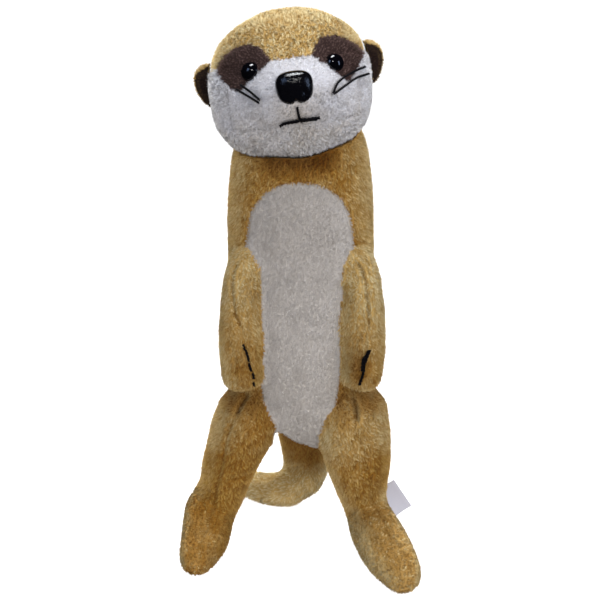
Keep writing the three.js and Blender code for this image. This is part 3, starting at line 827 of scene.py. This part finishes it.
def coat(name, skin, faces, paint, line, rng, style):
    """Thin three-sided tufts on some faces of a skin, in one piece."""
    at_tufts = scattered(skin, skin.quads[faces], style.density, rng)
    root = at_tufts(skin.points)
    normal = unit(at_tufts(skin.normals))
    rough = at_tufts(skin.rough)
    gaps = style.gaps * rough
    centre, luck, edge = clumps(root, style.clump, 81)
    lie = brushed(root, normal, at_tufts(skin.lie), style.curl * rough, luck, rng)
    side = np.cross(normal, lie)

    size = at_tufts(skin.size) * rng.uniform(0.8, 1.2, len(root)) * (1 + 0.12 * noise(root, 7, 91))
    # gap: how far a tuft stands in a gap between clumps or a parting; it is shorter there, with painted
    # shade.
    gap = gaps * np.maximum(edge, 0.8 * parting(root, 2.6, 17))
    size = size * (1 - 0.4 * gap)
    slope = np.radians(style.lean + rng.normal(0, 7, len(root)) + 10 * (luck - 0.5))
    axis = lie * np.sin(slope)[:, None] + normal * np.cos(slope)[:, None]
    tip = root + axis * (style.length * size)[:, None]
    tip += flattened(centre - root, normal) * style.pull
    half = side * (style.width / 2 * size)[:, None]
    ridge = -np.cross(axis, side) * (style.width * 0.45 * size)[:, None]
    foot = root - normal * SUNK
    points = np.stack([foot - half, foot + ridge, foot + half, tip], 1)
    points[:, :, 2] = np.maximum(points[:, :, 2], LOWEST)
    soft = np.stack([normal - side, normal - lie * 0.2, normal + side, normal + axis * 0.35], 1)

    foot_paint, tip_paint = tuft_paint(skin, at_tufts, paint, gaps, gap, luck, rng)
    on_map = np.array([(0, 0), (0.5, 0), (1, 0), (0.5, 1)]) * TUFT_ON_MAP + MAP_EDGE
    uv = unwrap(root, line)[:, None, :] * (1 - 2 * TUFT_ON_MAP) + on_map
    piece = new_piece(
        name,
        points.reshape(-1, 3),
        (np.arange(len(root))[:, None, None] * 4 + TUFT_SIDES).reshape(-1, 3),
        COATS[slot_of(name)],
        paint=np.stack([foot_paint] * 3 + [tip_paint], 1).reshape(-1, 3),
        normals=unit(soft.reshape(-1, 3)),
        uv=uv.reshape(-1, 2),
    )


def slot_of(name):
    """The record's material slot of a piece of coat."""
    if "patch" in name:
        return "brown_plush"
    if "belly" in name or "face" in name:
        return "white_plush"
    return "tan_plush"


def unwrap(points, line):
    """Places on a flat map of the form: round its own line and along it, or round the head."""
    if line is None:
        place = to_head(points)
        around = np.arctan2(place[:, 0], -place[:, 1])
        along_it = np.arccos(np.clip(unit(place)[:, 2], -1, 1))
    else:
        along_it, direction, offset = along(points, line)
        first = unit(np.cross(direction, (1.0, 0.0, 0.0)))
        second = np.cross(direction, first)
        around = np.arctan2(dot(offset, second), dot(offset, first))
    flat = np.stack([around, along_it], 1)
    low, high = flat.min(0), flat.max(0)
    return (flat - low) / (high - low)


# ------------------------------------------------------------------ body


def soften_joins(skin, part):
    """Rounds the creases where the limbs and the tail grow out of the trunk, and the feet out of the legs."""
    x, y, z = skin.points.T
    group = np.array(list(GROUPS))[:, None] == part
    limb = group[1:].argmax(0) + 1
    limb[part == "trunk"] = 0
    mixed = (limb[skin.quads] != limb[skin.quads[:, :1]]).any(1)
    seeds = np.zeros(len(x))
    seeds[skin.quads[mixed].ravel()] = 1
    at_arm = np.isin(part, ARMS) | (part == "trunk") & (z > 120)
    between_legs = ~at_arm & (z > 70) & (np.abs(x) < 24) & (y < 10)
    allowed = np.where(between_legs, 0.0, np.where(at_arm, smooth(176, 188, z), 1.0))
    weight = seeds * allowed
    for _ in range(9):
        weight = np.maximum(weight * 0.93, skin.spread_out(weight))
    weight = np.clip(weight * 1.6, 0, 1) * allowed
    for _ in range(45):
        skin.points += (0.5 * weight)[:, None] * (skin.averaged(skin.points) - skin.points)
    skin.refresh()


def shape_hem(skin, part):
    """The trunk ends higher on its right, and a small tuck of cloth hangs from it between the legs."""
    x, y, z = skin.points.T
    front = (part == "trunk") & (y < 25)
    hem = np.interp(x, (-21, -15, -8.6, -1.2, 13), (64, 85, 81.7, 73, 66)) - 25 * smooth(2, 25, y)
    raised = np.maximum(z, hem + 0.1 * (z - hem))
    tuck = 5 * lump(x, 8.5, 2.6) * lump(y, -6, 6) * smooth(76, 68, z)
    skin.points[:, 2] = np.where(front, raised - tuck, z)


def shape_body():
    """The body's cloth, with its joins rounded and its seams and folds drawn in."""
    skin = Skin(BODY_NODES, 1.25, 26)
    skin.part = np.full(len(skin.points), "trunk", object)
    for name, starts in GROUPS.items():
        skin.part[skin.is_on(*starts)] = name
    shape_hem(skin, skin.part)
    soften_joins(skin, skin.part)
    on_trunk = skin.part == "trunk"
    skin.on_belly = smooth(-1, 1, belly_share(skin.points)) * on_trunk
    skin.push(Skin.SWELL + np.where(np.isin(skin.part, FEET), 0.9, 1.0))
    skin.fair(2)
    skin.refresh()

    skin.shade = np.zeros(len(skin.points))
    for lines, width, depth, fade, shade in GROOVES:
        for line in lines:
            skin.shade = np.maximum(skin.shade, shade * skin.groove(line, width, depth, fade))
    skin.push(0.5 * lump(belly_share(skin.points), 0, 1.1) * on_trunk)
    skin.refresh()
    skin.make_bumpy(11, 4, 3)
    skin.points[:, 2] = np.maximum(skin.points[:, 2], 0.3)
    skin.refresh()
    return skin


def facing_aside(skin):
    """How far each point of the body faces its left or right."""
    return smooth(0.45, 0.9, np.abs(skin.normals[:, 0]))


def limb_sides(skin):
    """How far each point low on the limbs faces the toy's right, where the pile is painted paler as light,
    and its left, where it is painted browner and dimmer as shade.
    """
    x, _, z = skin.points.T
    low = smooth(165, 130, z) * np.isin(skin.part, ARMS + LEGS + FEET)
    to_right = smooth(-0.1, -0.8, skin.normals[:, 0]) * low
    to_left = smooth(0.1, 0.8, skin.normals[:, 0]) * low * np.maximum(smooth(35, 55, z), x < 0)
    return to_right, to_left


def body_deep(skin):
    """How much browner than its usual colour the tan is, or how much paler. Much of it is painted light and
    shade:
    browner under the chin, at the tail's root under the hem, low on the legs and feet, on the lower arms, on
    the toy's right limbs and on faces low on the limbs turned to its left; paler on faces turned aside, on
    the upper arms, on the rest of the tail and on faces turned to the toy's right.
    """
    x, y, z = skin.points.T
    part, right, aside = skin.part, (x < 0).astype(float), facing_aside(skin)
    chest = 0.9 * smooth(222, 248, z) * smooth(12, 2, y) * smooth(34, 18, np.abs(x))
    chest = np.maximum(chest, 0.7 - 0.4 * smooth(0, 10, y)) - 0.35 * aside
    toes = 0.6 + 0.35 * right - 0.25 * smooth(-28, -48, y) - 0.4 * aside
    leg = 0.2 + 0.45 * right + (0.6 - 0.1 * right) * smooth(84, 64, z) - 0.3 * aside
    arm = -0.3 + 0.1 * right + 0.6 * smooth(185, 150, z)
    tail = -0.4 + 1.4 * smooth(24, 38, z) * smooth(60, 30, y)
    places = [part == "trunk", np.isin(part, FEET), np.isin(part, LEGS), np.isin(part, ARMS), part == "tail"]
    deep = np.select(places, [chest, toes, leg, arm, tail], 0.1)
    to_right, to_left = limb_sides(skin)
    return deep - 0.35 * to_right * (1 - 0.6 * smooth(78, 68, z)) + 0.2 * to_left


def brush_body(skin):
    """Sets which way the body's pile lies, how long it is and how rough."""
    skin.lie = np.zeros_like(skin.points)
    skin.lie[skin.part == "trunk"] = (0, 0, -1)
    for name, line in LINES.items():
        here = skin.part == name
        if name != "trunk":
            skin.lie[here] = along(skin.points[here], line)[1]
    for _ in range(4):
        skin.lie = skin.averaged(skin.lie)
    skin.lie += 0.25 * noise3(skin.points, 25, 61)
    skin.size = np.where(np.isin(skin.part, FEET), 0.85, 1.0) * (1 - 0.25 * skin.shade)
    # The pile is smoother on faces turned aside, and there its roots are painted paler, as painted light.
    skin.rough = 1 - 0.5 * facing_aside(skin)


def body_shade(skin):
    """How much painted shade each point of the body has: in its seams and folds, under what hangs over it,
    round the paw threads, on the feet and the toy's right thigh, and on faces low on the limbs turned to its
    left.
    """
    x, y, z = skin.points.T
    right, off_belly = (x < 0).astype(float), 1 - skin.on_belly
    on_trunk, on_arm, on_leg, on_foot = (np.isin(skin.part, names) for names in (["trunk"], ARMS, LEGS, FEET))
    to_right, to_left = limb_sides(skin)
    under_chin = 0.1 * smooth(226, 238, z) + 0.42 * smooth(238, 250, z) + 0.25 * smooth(246, 252, z)
    under_chin = under_chin * (smooth(28, 14, np.abs(x)) * smooth(8, -2, y)) * on_trunk
    under_paw = 0.5 * lump(z, 107, 10) * smooth(62, 48, np.abs(x)) * smooth(8, -2, y)
    under_paw *= on_leg + on_trunk * off_belly
    under_hem = np.maximum(0.45 * smooth(24, 38, z) * smooth(60, 30, y), 0.04 * smooth(22, 12, z))
    under_hem = under_hem * (skin.part == "tail")
    at_thread = 0.58 * lump(x, 34, 6.5) * lump(z, 135, 15)
    at_thread += 0.27 * lump(x, -32, 6) * lump(z, 134, 14)
    at_thread *= smooth(-10, -24, y) * on_arm
    at_thread += 0.03 * smooth(180, 150, z) * on_arm
    arm_top = lump(np.abs(x), 24, 9) * lump(z, 178, 13)
    arm_top = 0.28 * arm_top * smooth(-4, -16, y) * off_belly
    on_sole = np.maximum((0.04 + 0.06 * right) * on_foot * (1 - to_right), 0.16 * to_left)
    high_belly = 0.12 * smooth(165, 205, z) * smooth(30, 14, np.abs(x)) * skin.on_belly
    thigh = 0.12 * right * on_leg * smooth(56, 68, z)
    crotch = 0.25 * lump(np.abs(x + 2), 17, 6) * lump(z, 97, 9) * off_belly
    under = [under_chin, under_paw, under_hem, at_thread, arm_top, high_belly, thigh, crotch, on_sole]
    return np.maximum.reduce([skin.shade] + under)


def coat_body(skin):
    part = skin.part[skin.quads[:, 0]]
    middle = skin.points[skin.quads].mean(1)
    belly = (part == "trunk") & (belly_share(middle) > 0)
    front, high = middle[:, 1] < 6, middle[:, 2] > 170
    tan = (part == "trunk") & ~belly
    line = LINES["trunk"]
    rng = np.random.default_rng(2024)
    coat("coat_front", skin, tan & front, trunk_paint, line, rng, LONG_PILE)
    coat("coat_back_low", skin, tan & ~front & ~high, trunk_paint, line, rng, LONG_PILE)
    coat("coat_back_high", skin, tan & ~front & high, trunk_paint, line, rng, LONG_PILE)
    coat("coat_belly", skin, belly, trunk_paint, line, rng, BELLY_PILE)
    styles = {name: LONG_PILE._replace(gaps=0.45) for name in ARMS}
    styles.update({name: LONG_PILE._replace(gaps=0.7) for name in LEGS})
    styles["tail"] = LONG_PILE._replace(gaps=0.3)
    styles.update({name: FOOT_PILE for name in FEET})
    for name, style in styles.items():
        coat("coat_" + name, skin, part == name, tan_paint, LINES[name], rng, style)


def make_body():
    skin = shape_body()
    skin.deep = body_deep(skin)
    brush_body(skin)
    skin.shade = body_shade(skin)
    pale = skin.on_belly[:, None]
    paint = skin_paint(skin, tan_paint) * (1 - pale) + skin_paint(skin, cream_paint) * pale
    piece = new_piece("skin_body", skin.points, skin.quads, SKIN, paint=paint)
    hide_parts(*BODY_NODES)
    coat_body(skin)
    return skin


# ------------------------------------------------------------------ head


def shape_head():
    """The head's cloth, with hollows for the eyes and lines at cheeks, mouth and the edges of its cloths."""
    skin = Skin(HEAD_NODES, 1.05, 55)
    place = to_head(skin.points)
    skin.white = smooth(-1, 1, white_share(place))
    skin.dark = smooth(-1, 1, patch_share(place))
    depth = 1.2 * (1 - skin.white) * (1 - skin.dark) + 0.55 * np.maximum(skin.white, skin.dark)
    skin.push(Skin.SWELL + depth)
    skin.fair(2)
    skin.refresh()

    skin.place = to_head(skin.points)
    x, y, z = skin.place.T
    hollow = np.zeros(len(x))
    for eye_x, eye_z in EYE_AT.values():
        hollow += 1.5 * lump(np.hypot(x - eye_x, z - eye_z), 0, 6.5) * (y < 0)
    cheek = lump(np.abs(x), 36.2, 1.2) * (y < 6) * (smooth(-21, -16, z) * smooth(5, 0, z))
    above_mouth = z + 23.5 + 0.07 * y - 2.4 * smooth(26, 40, np.abs(x))
    mouth = lump(above_mouth, 0, 1.1) * smooth(10, 4, y) * smooth(16, 22, np.abs(x))
    mouth *= 1 - 0.75 * smooth(34, 38, np.abs(x))
    crown = lump(white_share(skin.place), 0, 1.0)
    rim = lump(patch_share(skin.place), 0, 0.9)
    skin.push(hollow + 0.5 * cheek + 0.45 * mouth + 0.35 * crown + 0.35 * rim)
    skin.refresh()
    skin.make_bumpy(9, 3.5, 8)
    skin.refresh()
    # Painted shade in the seams of the cheeks and the mouth, stronger on the head's right cheek.
    skin.shade = np.maximum(0.2 * cheek * np.where(x < 0, 1.0, 0.4), 0.16 * mouth)
    return skin


def head_shade(skin):
    """How dim each point of the head is: in its seams, round the muzzle, low on a cheek and on the crown."""
    x, y, z = skin.place.T
    muzzle = lump(x, 5, 24) * lump(z, -13, 8) * smooth(-20, -35, y)
    low_cheek = smooth(-14, -30, x) * smooth(-4, -14, z) * smooth(10, -5, y)
    crown = (0.05 + 0.11 * smooth(20, 36, np.abs(x))) * smooth(6, 14, z)
    return np.maximum.reduce([skin.shade, 0.2 * muzzle, 0.08 * low_cheek, crown])


def head_deep(skin):
    """How beige the white cloth is: most below the nose and on the chin."""
    x, _, z = skin.place.T
    below = np.maximum(0.5 * smooth(-8, -30, z), 0.6 * lump(x, 0, 17) * smooth(2, -10, z))
    return np.clip(below + 0.3 * noise(skin.points, 8, 19), 0, 1)


def brush_head(skin):
    """Sets which way the head's pile lies, how long it is and how rough."""
    x, y, z = skin.place.T
    nose = from_head([(NOSE_AT[0], -58, NOSE_AT[2])])[0]
    low = smooth(-26, -34, z) * smooth(20, 0, y)
    up = np.where(skin.white > 0.5, -0.35, 0.1) - low
    skin.lie = unit(skin.points - nose) + HEAD_AXES[:, 2] * up[:, None]
    by_ear = smooth(34, 41, np.abs(x)) * lump(z, 4, 9) * skin.white
    skin.size = 1 + 0.2 * low + 1.2 * by_ear
    # The crown's pile is smoother at its sides and top, and there its roots are painted paler, as painted
    # light.
    tan_rough = 1 - 0.6 * smooth(24, 38, np.abs(x)) * (skin.dark < 0.5)
    skin.rough = np.where(skin.white > 0.5, 1.0, tan_rough) * (1 - 0.5 * smooth(27, 35, z))


def coat_head(skin):
    middle = to_head(skin.points[skin.quads].mean(1))
    patch = patch_share(middle) > 0
    face = (white_share(middle) > 0) & ~patch
    chin = face & (middle[:, 2] < -19)
    back = middle[:, 1] > 6
    tan = ~patch & ~face
    rng = np.random.default_rng(77)
    coat("coat_crown", skin, tan & ~back, head_paint, None, rng, CROWN_PILE)
    coat("coat_head_back", skin, tan & back, head_paint, None, rng, NAPE_PILE)
    coat("coat_face", skin, face & ~chin, head_paint, None, rng, FACE_PILE)
    coat("coat_face_chin", skin, chin, head_paint, None, rng, CHIN_PILE)
    coat("coat_patches", skin, patch, head_paint, None, rng, PATCH_PILE)


def make_head():
    skin = shape_head()
    skin.shade = head_shade(skin)
    skin.deep = head_deep(skin)
    brush_head(skin)
    piece = new_piece("skin_head", skin.points, skin.quads, SKIN, paint=skin_paint(skin, head_paint))
    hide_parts(*HEAD_NODES)
    coat_head(skin)
    return skin


def make_ear(side, name):
    """An ear, with the black cloth of its lining painted on one skin with the tan."""
    nodes = ["ear_" + name, "ear_lining_" + name]
    skin = Skin(nodes, 0.62, 6)
    lining = skin.is_on("ear_lining").astype(float)
    for _ in range(2):
        lining = skin.averaged(lining[:, None])[:, 0]
    skin.push(np.full(len(skin.points), Skin.SWELL + 0.35))
    skin.fair(2)
    skin.refresh()
    root = from_head([(side * 40, 5, 3.6)])[0]
    skin.lie = unit(skin.points - root)
    skin.size = np.ones(len(skin.points))
    # The ear's tan is painted paler than the body's, as painted light.
    skin.deep = np.full(len(skin.points), -0.3)
    skin.shade = np.zeros(len(skin.points))
    skin.rough = np.ones(len(skin.points))
    tree = skin.tree()
    turn = math.radians(40) * side
    ahead = HEAD_AXES @ (math.sin(turn) * -1, -math.cos(turn), 0)
    facing = skin.normals @ ahead
    upward = np.maximum(skin.normals @ HEAD_AXES[:, 2], 0)
    dark = np.maximum(lining, smooth(-0.4, -0.1, facing - 1.5 * upward))

    def paint(points, deep):
        near = np.array([tree.find_nearest(point)[2] for point in points.tolist()])
        inner = smooth(0.35, 0.65, dark[skin.quads[near]].mean(1) + 0.1 * noise(points, 1.5, 23))
        return [mix(tan, black, inner) for tan, black in zip(tan_paint(points, deep), (DARK_ROOT, DARK_TIP))]

    piece = new_piece("skin_ear_" + name, skin.points, skin.quads, SKIN, paint=skin_paint(skin, paint))
    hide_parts(*nodes)
    rng = np.random.default_rng(5 + side)
    everything = np.ones(len(skin.quads), bool)
    line = [from_head([(side * 44, 3, z)])[0] for z in (-12, 18)]
    coat("coat_ear_" + name, skin, everything, paint, line, rng, EAR_PILE)


# ------------------------------------------------------------------ eyes, nose, thread, tag


def ball(around, along_it, place):
    """A round form but for a pinhole at each end. place gives its points from their directions."""
    rings = [
        [
            (math.cos(a) * math.sin(b), math.sin(a) * math.sin(b), math.cos(b))
            for a in np.linspace(0, 2 * math.pi, around, endpoint=False)
        ]
        for b in np.linspace(0.02, math.pi - 0.02, along_it)
    ]
    return place(np.array(rings).reshape(-1, 3)), turned_out(net(along_it, around))


def on_face(tree, x, z, lift):
    """The point of the head's skin at x, z of the head's frame, and the way out from it."""
    start = from_head([(x, AHEAD, z)])[0]
    hit, normal, _, _ = tree.ray_cast(Vector(start), Vector(HEAD_AXES[:, 1]))
    return np.array(hit) + np.array(normal) * lift, np.array(normal)


def make_eyes(tree):
    gloss = new_material("eye_plastic", rgb(5, 5, 8), roughness=0.07, specular=0.6)
    add_bump(gloss, 0.004, 0.05, 0.0002)
    for side, name in ((1, "left"), (-1, "right")):
        x, z = EYE_AT[side]
        seat, out = on_face(tree, x, z, 0.3)
        out = unit(out + unit(from_head([(x * 0.4, -90, z)])[0] - seat) * 0.6)
        across = unit(np.cross(out, HEAD_AXES[:, 2]))
        up = np.cross(across, out)

        def place(way):
            sideways = way[:, :1] * across * EYE_RADIUS + way[:, 1:2] * up * EYE_RADIUS
            return seat + sideways + way[:, 2:] * out * EYE_DEPTH

        points, faces = ball(48, 25, place)
        piece = new_piece("eye_dome_" + name, points, faces, gloss)
        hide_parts("eye_" + name)


def make_nose():
    gloss = new_material("nose_plastic", rgb(7, 7, 10), roughness=0.13, specular=0.7)
    add_bump(gloss, 0.0008, 0.6, 0.0003, detail=2)
    middle_x, base_y, middle_z = NOSE_AT
    wide, proud, tall = NOSE_SIZE

    def place(way):
        x = np.sign(way[:, 0]) * np.abs(way[:, 0]) ** 0.74
        z = np.sign(way[:, 2]) * np.abs(way[:, 2]) ** 0.74
        taper = 0.86 + 0.13 * (z + 1) / 2
        notch = 0.17 * lump(x, 0, 0.16) * smooth(0.1, 0.95, -z)
        front = np.where(way[:, 1] < 0, np.abs(way[:, 1]) ** 0.8, -way[:, 1])
        hollow = (lump(x, 0.5, 0.16) + lump(x, -0.5, 0.16)) * lump(z, -0.35, 0.2)
        across = middle_x + wide * x * taper
        back = base_y - proud * front + 0.8 * hollow
        return from_head(np.stack([across, back, middle_z + tall * (z + notch)], 1))

    points, faces = ball(72, 49, place)
    piece = new_piece("nose_button", points, faces, gloss)
    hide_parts("nose")


def tube(line, radius, sides=8):
    """A round tube along a line, drawn in at its two ends."""
    line = np.asarray(line, float)
    way = unit(np.gradient(line, axis=0))
    across = unit(np.cross(way, (0.3, 0.5, 0.81)))
    up = np.cross(way, across)
    angles = np.linspace(0, 2 * math.pi, sides, endpoint=False)
    taper = np.ones(len(line))
    taper[[0, -1]] = 0.35
    rings = line[:, None] + (radius * taper)[:, None, None] * (
        across[:, None] * np.cos(angles)[None, :, None] + up[:, None] * np.sin(angles)[None, :, None]
    )
    return rings.reshape(-1, 3), net(len(line), sides)


def twisted(line, normals, radius, pitch):
    """Two plies wound round each other along a line."""
    line = rounded(line, 64)
    normals = unit(rounded(normals, 64))
    way = unit(np.gradient(line, axis=0))
    side = unit(np.cross(way, normals))
    run = np.concatenate([[0], np.cumsum(np.linalg.norm(np.diff(line, axis=0), axis=1))])
    found = []
    for start in (0, math.pi):
        turn = run / pitch * 2 * math.pi + start
        path = line + radius * 0.5 * (side * np.cos(turn)[:, None] + normals * np.sin(turn)[:, None])
        found.append(tube(path, radius * 0.58))
    return found


def join(parts):
    """One mesh from several, each given as points and faces."""
    starts = np.cumsum([0] + [len(points) for points, _ in parts])
    points = np.concatenate([points for points, _ in parts])
    return points, np.concatenate([faces + start for (_, faces), start in zip(parts, starts)])


MOUTH = [  # threads: radius, lift off the skin, and places across and up in the head's frame
    (0.5, 1.15, [(-0.4, -10.4), (-0.3, -14), (0.1, -17)]),
    (0.62, 1.15, [(-0.3, -10.6), (0.0, -14), (0.7, -17)]),
    (0.8, 1.4, [(-9.9, -19.3), (-7.6, -18.2), (-4, -17.8), (0, -17.4)]),
    (0.6, 1.4, [(-8.2, -18.0), (-5, -17.4), (-1, -17.1)]),
    (0.85, 1.4, [(-1.5, -17.6), (1, -17.0), (5, -17.3), (10.6, -17.5)]),
    (0.65, 1.3, [(0.5, -18.0), (4, -17.8), (9, -18.2)]),
]
WHISKERS = {  # the same for each side of the head
    "left": [
        (0.7, 2.2, [(17.8, -6.6), (22.1, -1.8), (31.7, 1.6), (38.4, 3.0)]),
        (0.7, 2.2, [(18.1, -7.0), (26.2, -4.3), (32.4, -2.0), (40.0, -1.0)]),
    ],
    "right": [
        (0.7, 2.2, [(-18.0, -6.6), (-23.4, -3.0), (-29.4, 1.0)]),
        (0.7, 2.2, [(-17.5, -5.4), (-21.3, -1.6), (-27.0, 2.6)]),
    ],
}
PAW_THREADS = {  # side: radius, and where along the row each thread starts and ends, and its shift
    "right": (
        0.75,
        [(0, 0.15, -0.4), (0.15, 0.42, 0.1), (0.43, 0.66, -0.1), (0.67, 0.85, 0.15), (0.9, 1, -0.1)],
    ),
    "left": (0.85, [(0, 1, 0.0), (0, 0.3, 0.7), (0.15, 0.5, -0.8)]),
}
ROW_STEPS = 40  # a row of stitches on a paw is laid out in this many steps


def paw_line(tree, side, start, end, shift):
    """Part of the row of stitches on a paw, from one share of its length to another."""
    row = rounded([(x, 0, z) for x, z in PAW_STITCHES[side]], ROW_STEPS + 1)
    found = []
    for x, _, z in row[round(start * ROW_STEPS) : round(end * ROW_STEPS) + 1 : 2]:
        hit, normal, _, _ = tree.ray_cast(Vector((x + shift, AHEAD, z)), Vector((0, 1, 0)))
        found.append((np.array(hit) + np.array(normal) * 1.3, np.array(normal)))
    return found


def make_thread(head_tree, body_tree):
    cotton = new_material("black_thread", rgb(10, 8, 10), roughness=0.6, specular=0.2)
    add_bump(cotton, 0.0003, 0.6, 0.0001)

    def stitched(name, node, threads):
        parts = []
        for radius, line in threads:
            parts += twisted([p for p, _ in line], [n for _, n in line], radius, radius * 5)
        piece = new_piece(name, *join(parts), cotton)
        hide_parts(node)

    def on_head(threads):
        return [(radius, [on_face(head_tree, x, z, lift) for x, z in line]) for radius, lift, line in threads]

    stitched("mouth_stitch", "mouth", on_head(MOUTH))
    for side, threads in WHISKERS.items():
        stitched("whisker_threads_" + side, "whiskers_" + side, on_head(threads))
    for side, (radius, shares) in PAW_THREADS.items():
        threads = [(radius, paw_line(body_tree, side, *share)) for share in shares]
        stitched("paw_thread_" + side, "paw_stitch_" + side, threads)


def make_tag():
    """A blank piece of woven tape, sewn into the seam of the left leg and slightly bowed."""
    cloth = new_material("tag_tape", rgb(197, 196, 207), roughness=0.7, sheen=0.2, specular=0.3)
    add_bump(cloth, 0.0004, 0.5, 0.0001, stretch=(1, 1, 3))
    turn = Matrix.Rotation(math.radians(-32), 3, "Y") @ Matrix.Rotation(math.radians(12), 3, "Z")
    centre = np.array([60.6, 12.7, 21.5])
    wide, tall = 14, 22
    across, along_it = 15, 23
    rows = []
    for z in np.linspace(-0.5, 0.5, along_it):
        for x in np.linspace(-0.5, 0.5, across):
            bow = 0.9 * math.cos(x * math.pi) + 0.35 * math.sin(z * 5) + 1.2 * max(0, x) ** 2
            rows.append((x * wide, bow - 0.6, z * tall))
    points = np.array(rows) @ np.array(turn).T + centre
    piece = new_piece("tag_tape", points, net(along_it, across, closed=False), cloth)
    thick = piece.modifiers.new("thickness", "SOLIDIFY")
    thick.thickness = 0.5 * MM
    thick.offset = 0
    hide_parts("tag")


# ------------------------------------------------------------------ all together

add_camera()
add_studio()
SKIN = painted_material("plush_ground", 0.95, 0.1, rgb(190, 160, 110), bump_size=0.0012)
COATS = {  # the pile's material by slot
    "tan_plush": painted_material("pile_tan", 0.9, 0.5, rgb(196, 160, 102)),
    "white_plush": painted_material("pile_white", 0.9, 0.5, rgb(208, 206, 208)),
    "brown_plush": painted_material("pile_brown", 0.9, 0.5, rgb(86, 68, 62)),
}

body = make_body()
head = make_head()
make_ear(1, "left")
make_ear(-1, "right")
make_eyes(head.tree())
make_nose()
make_thread(head.tree(), body.tree())
make_tag()
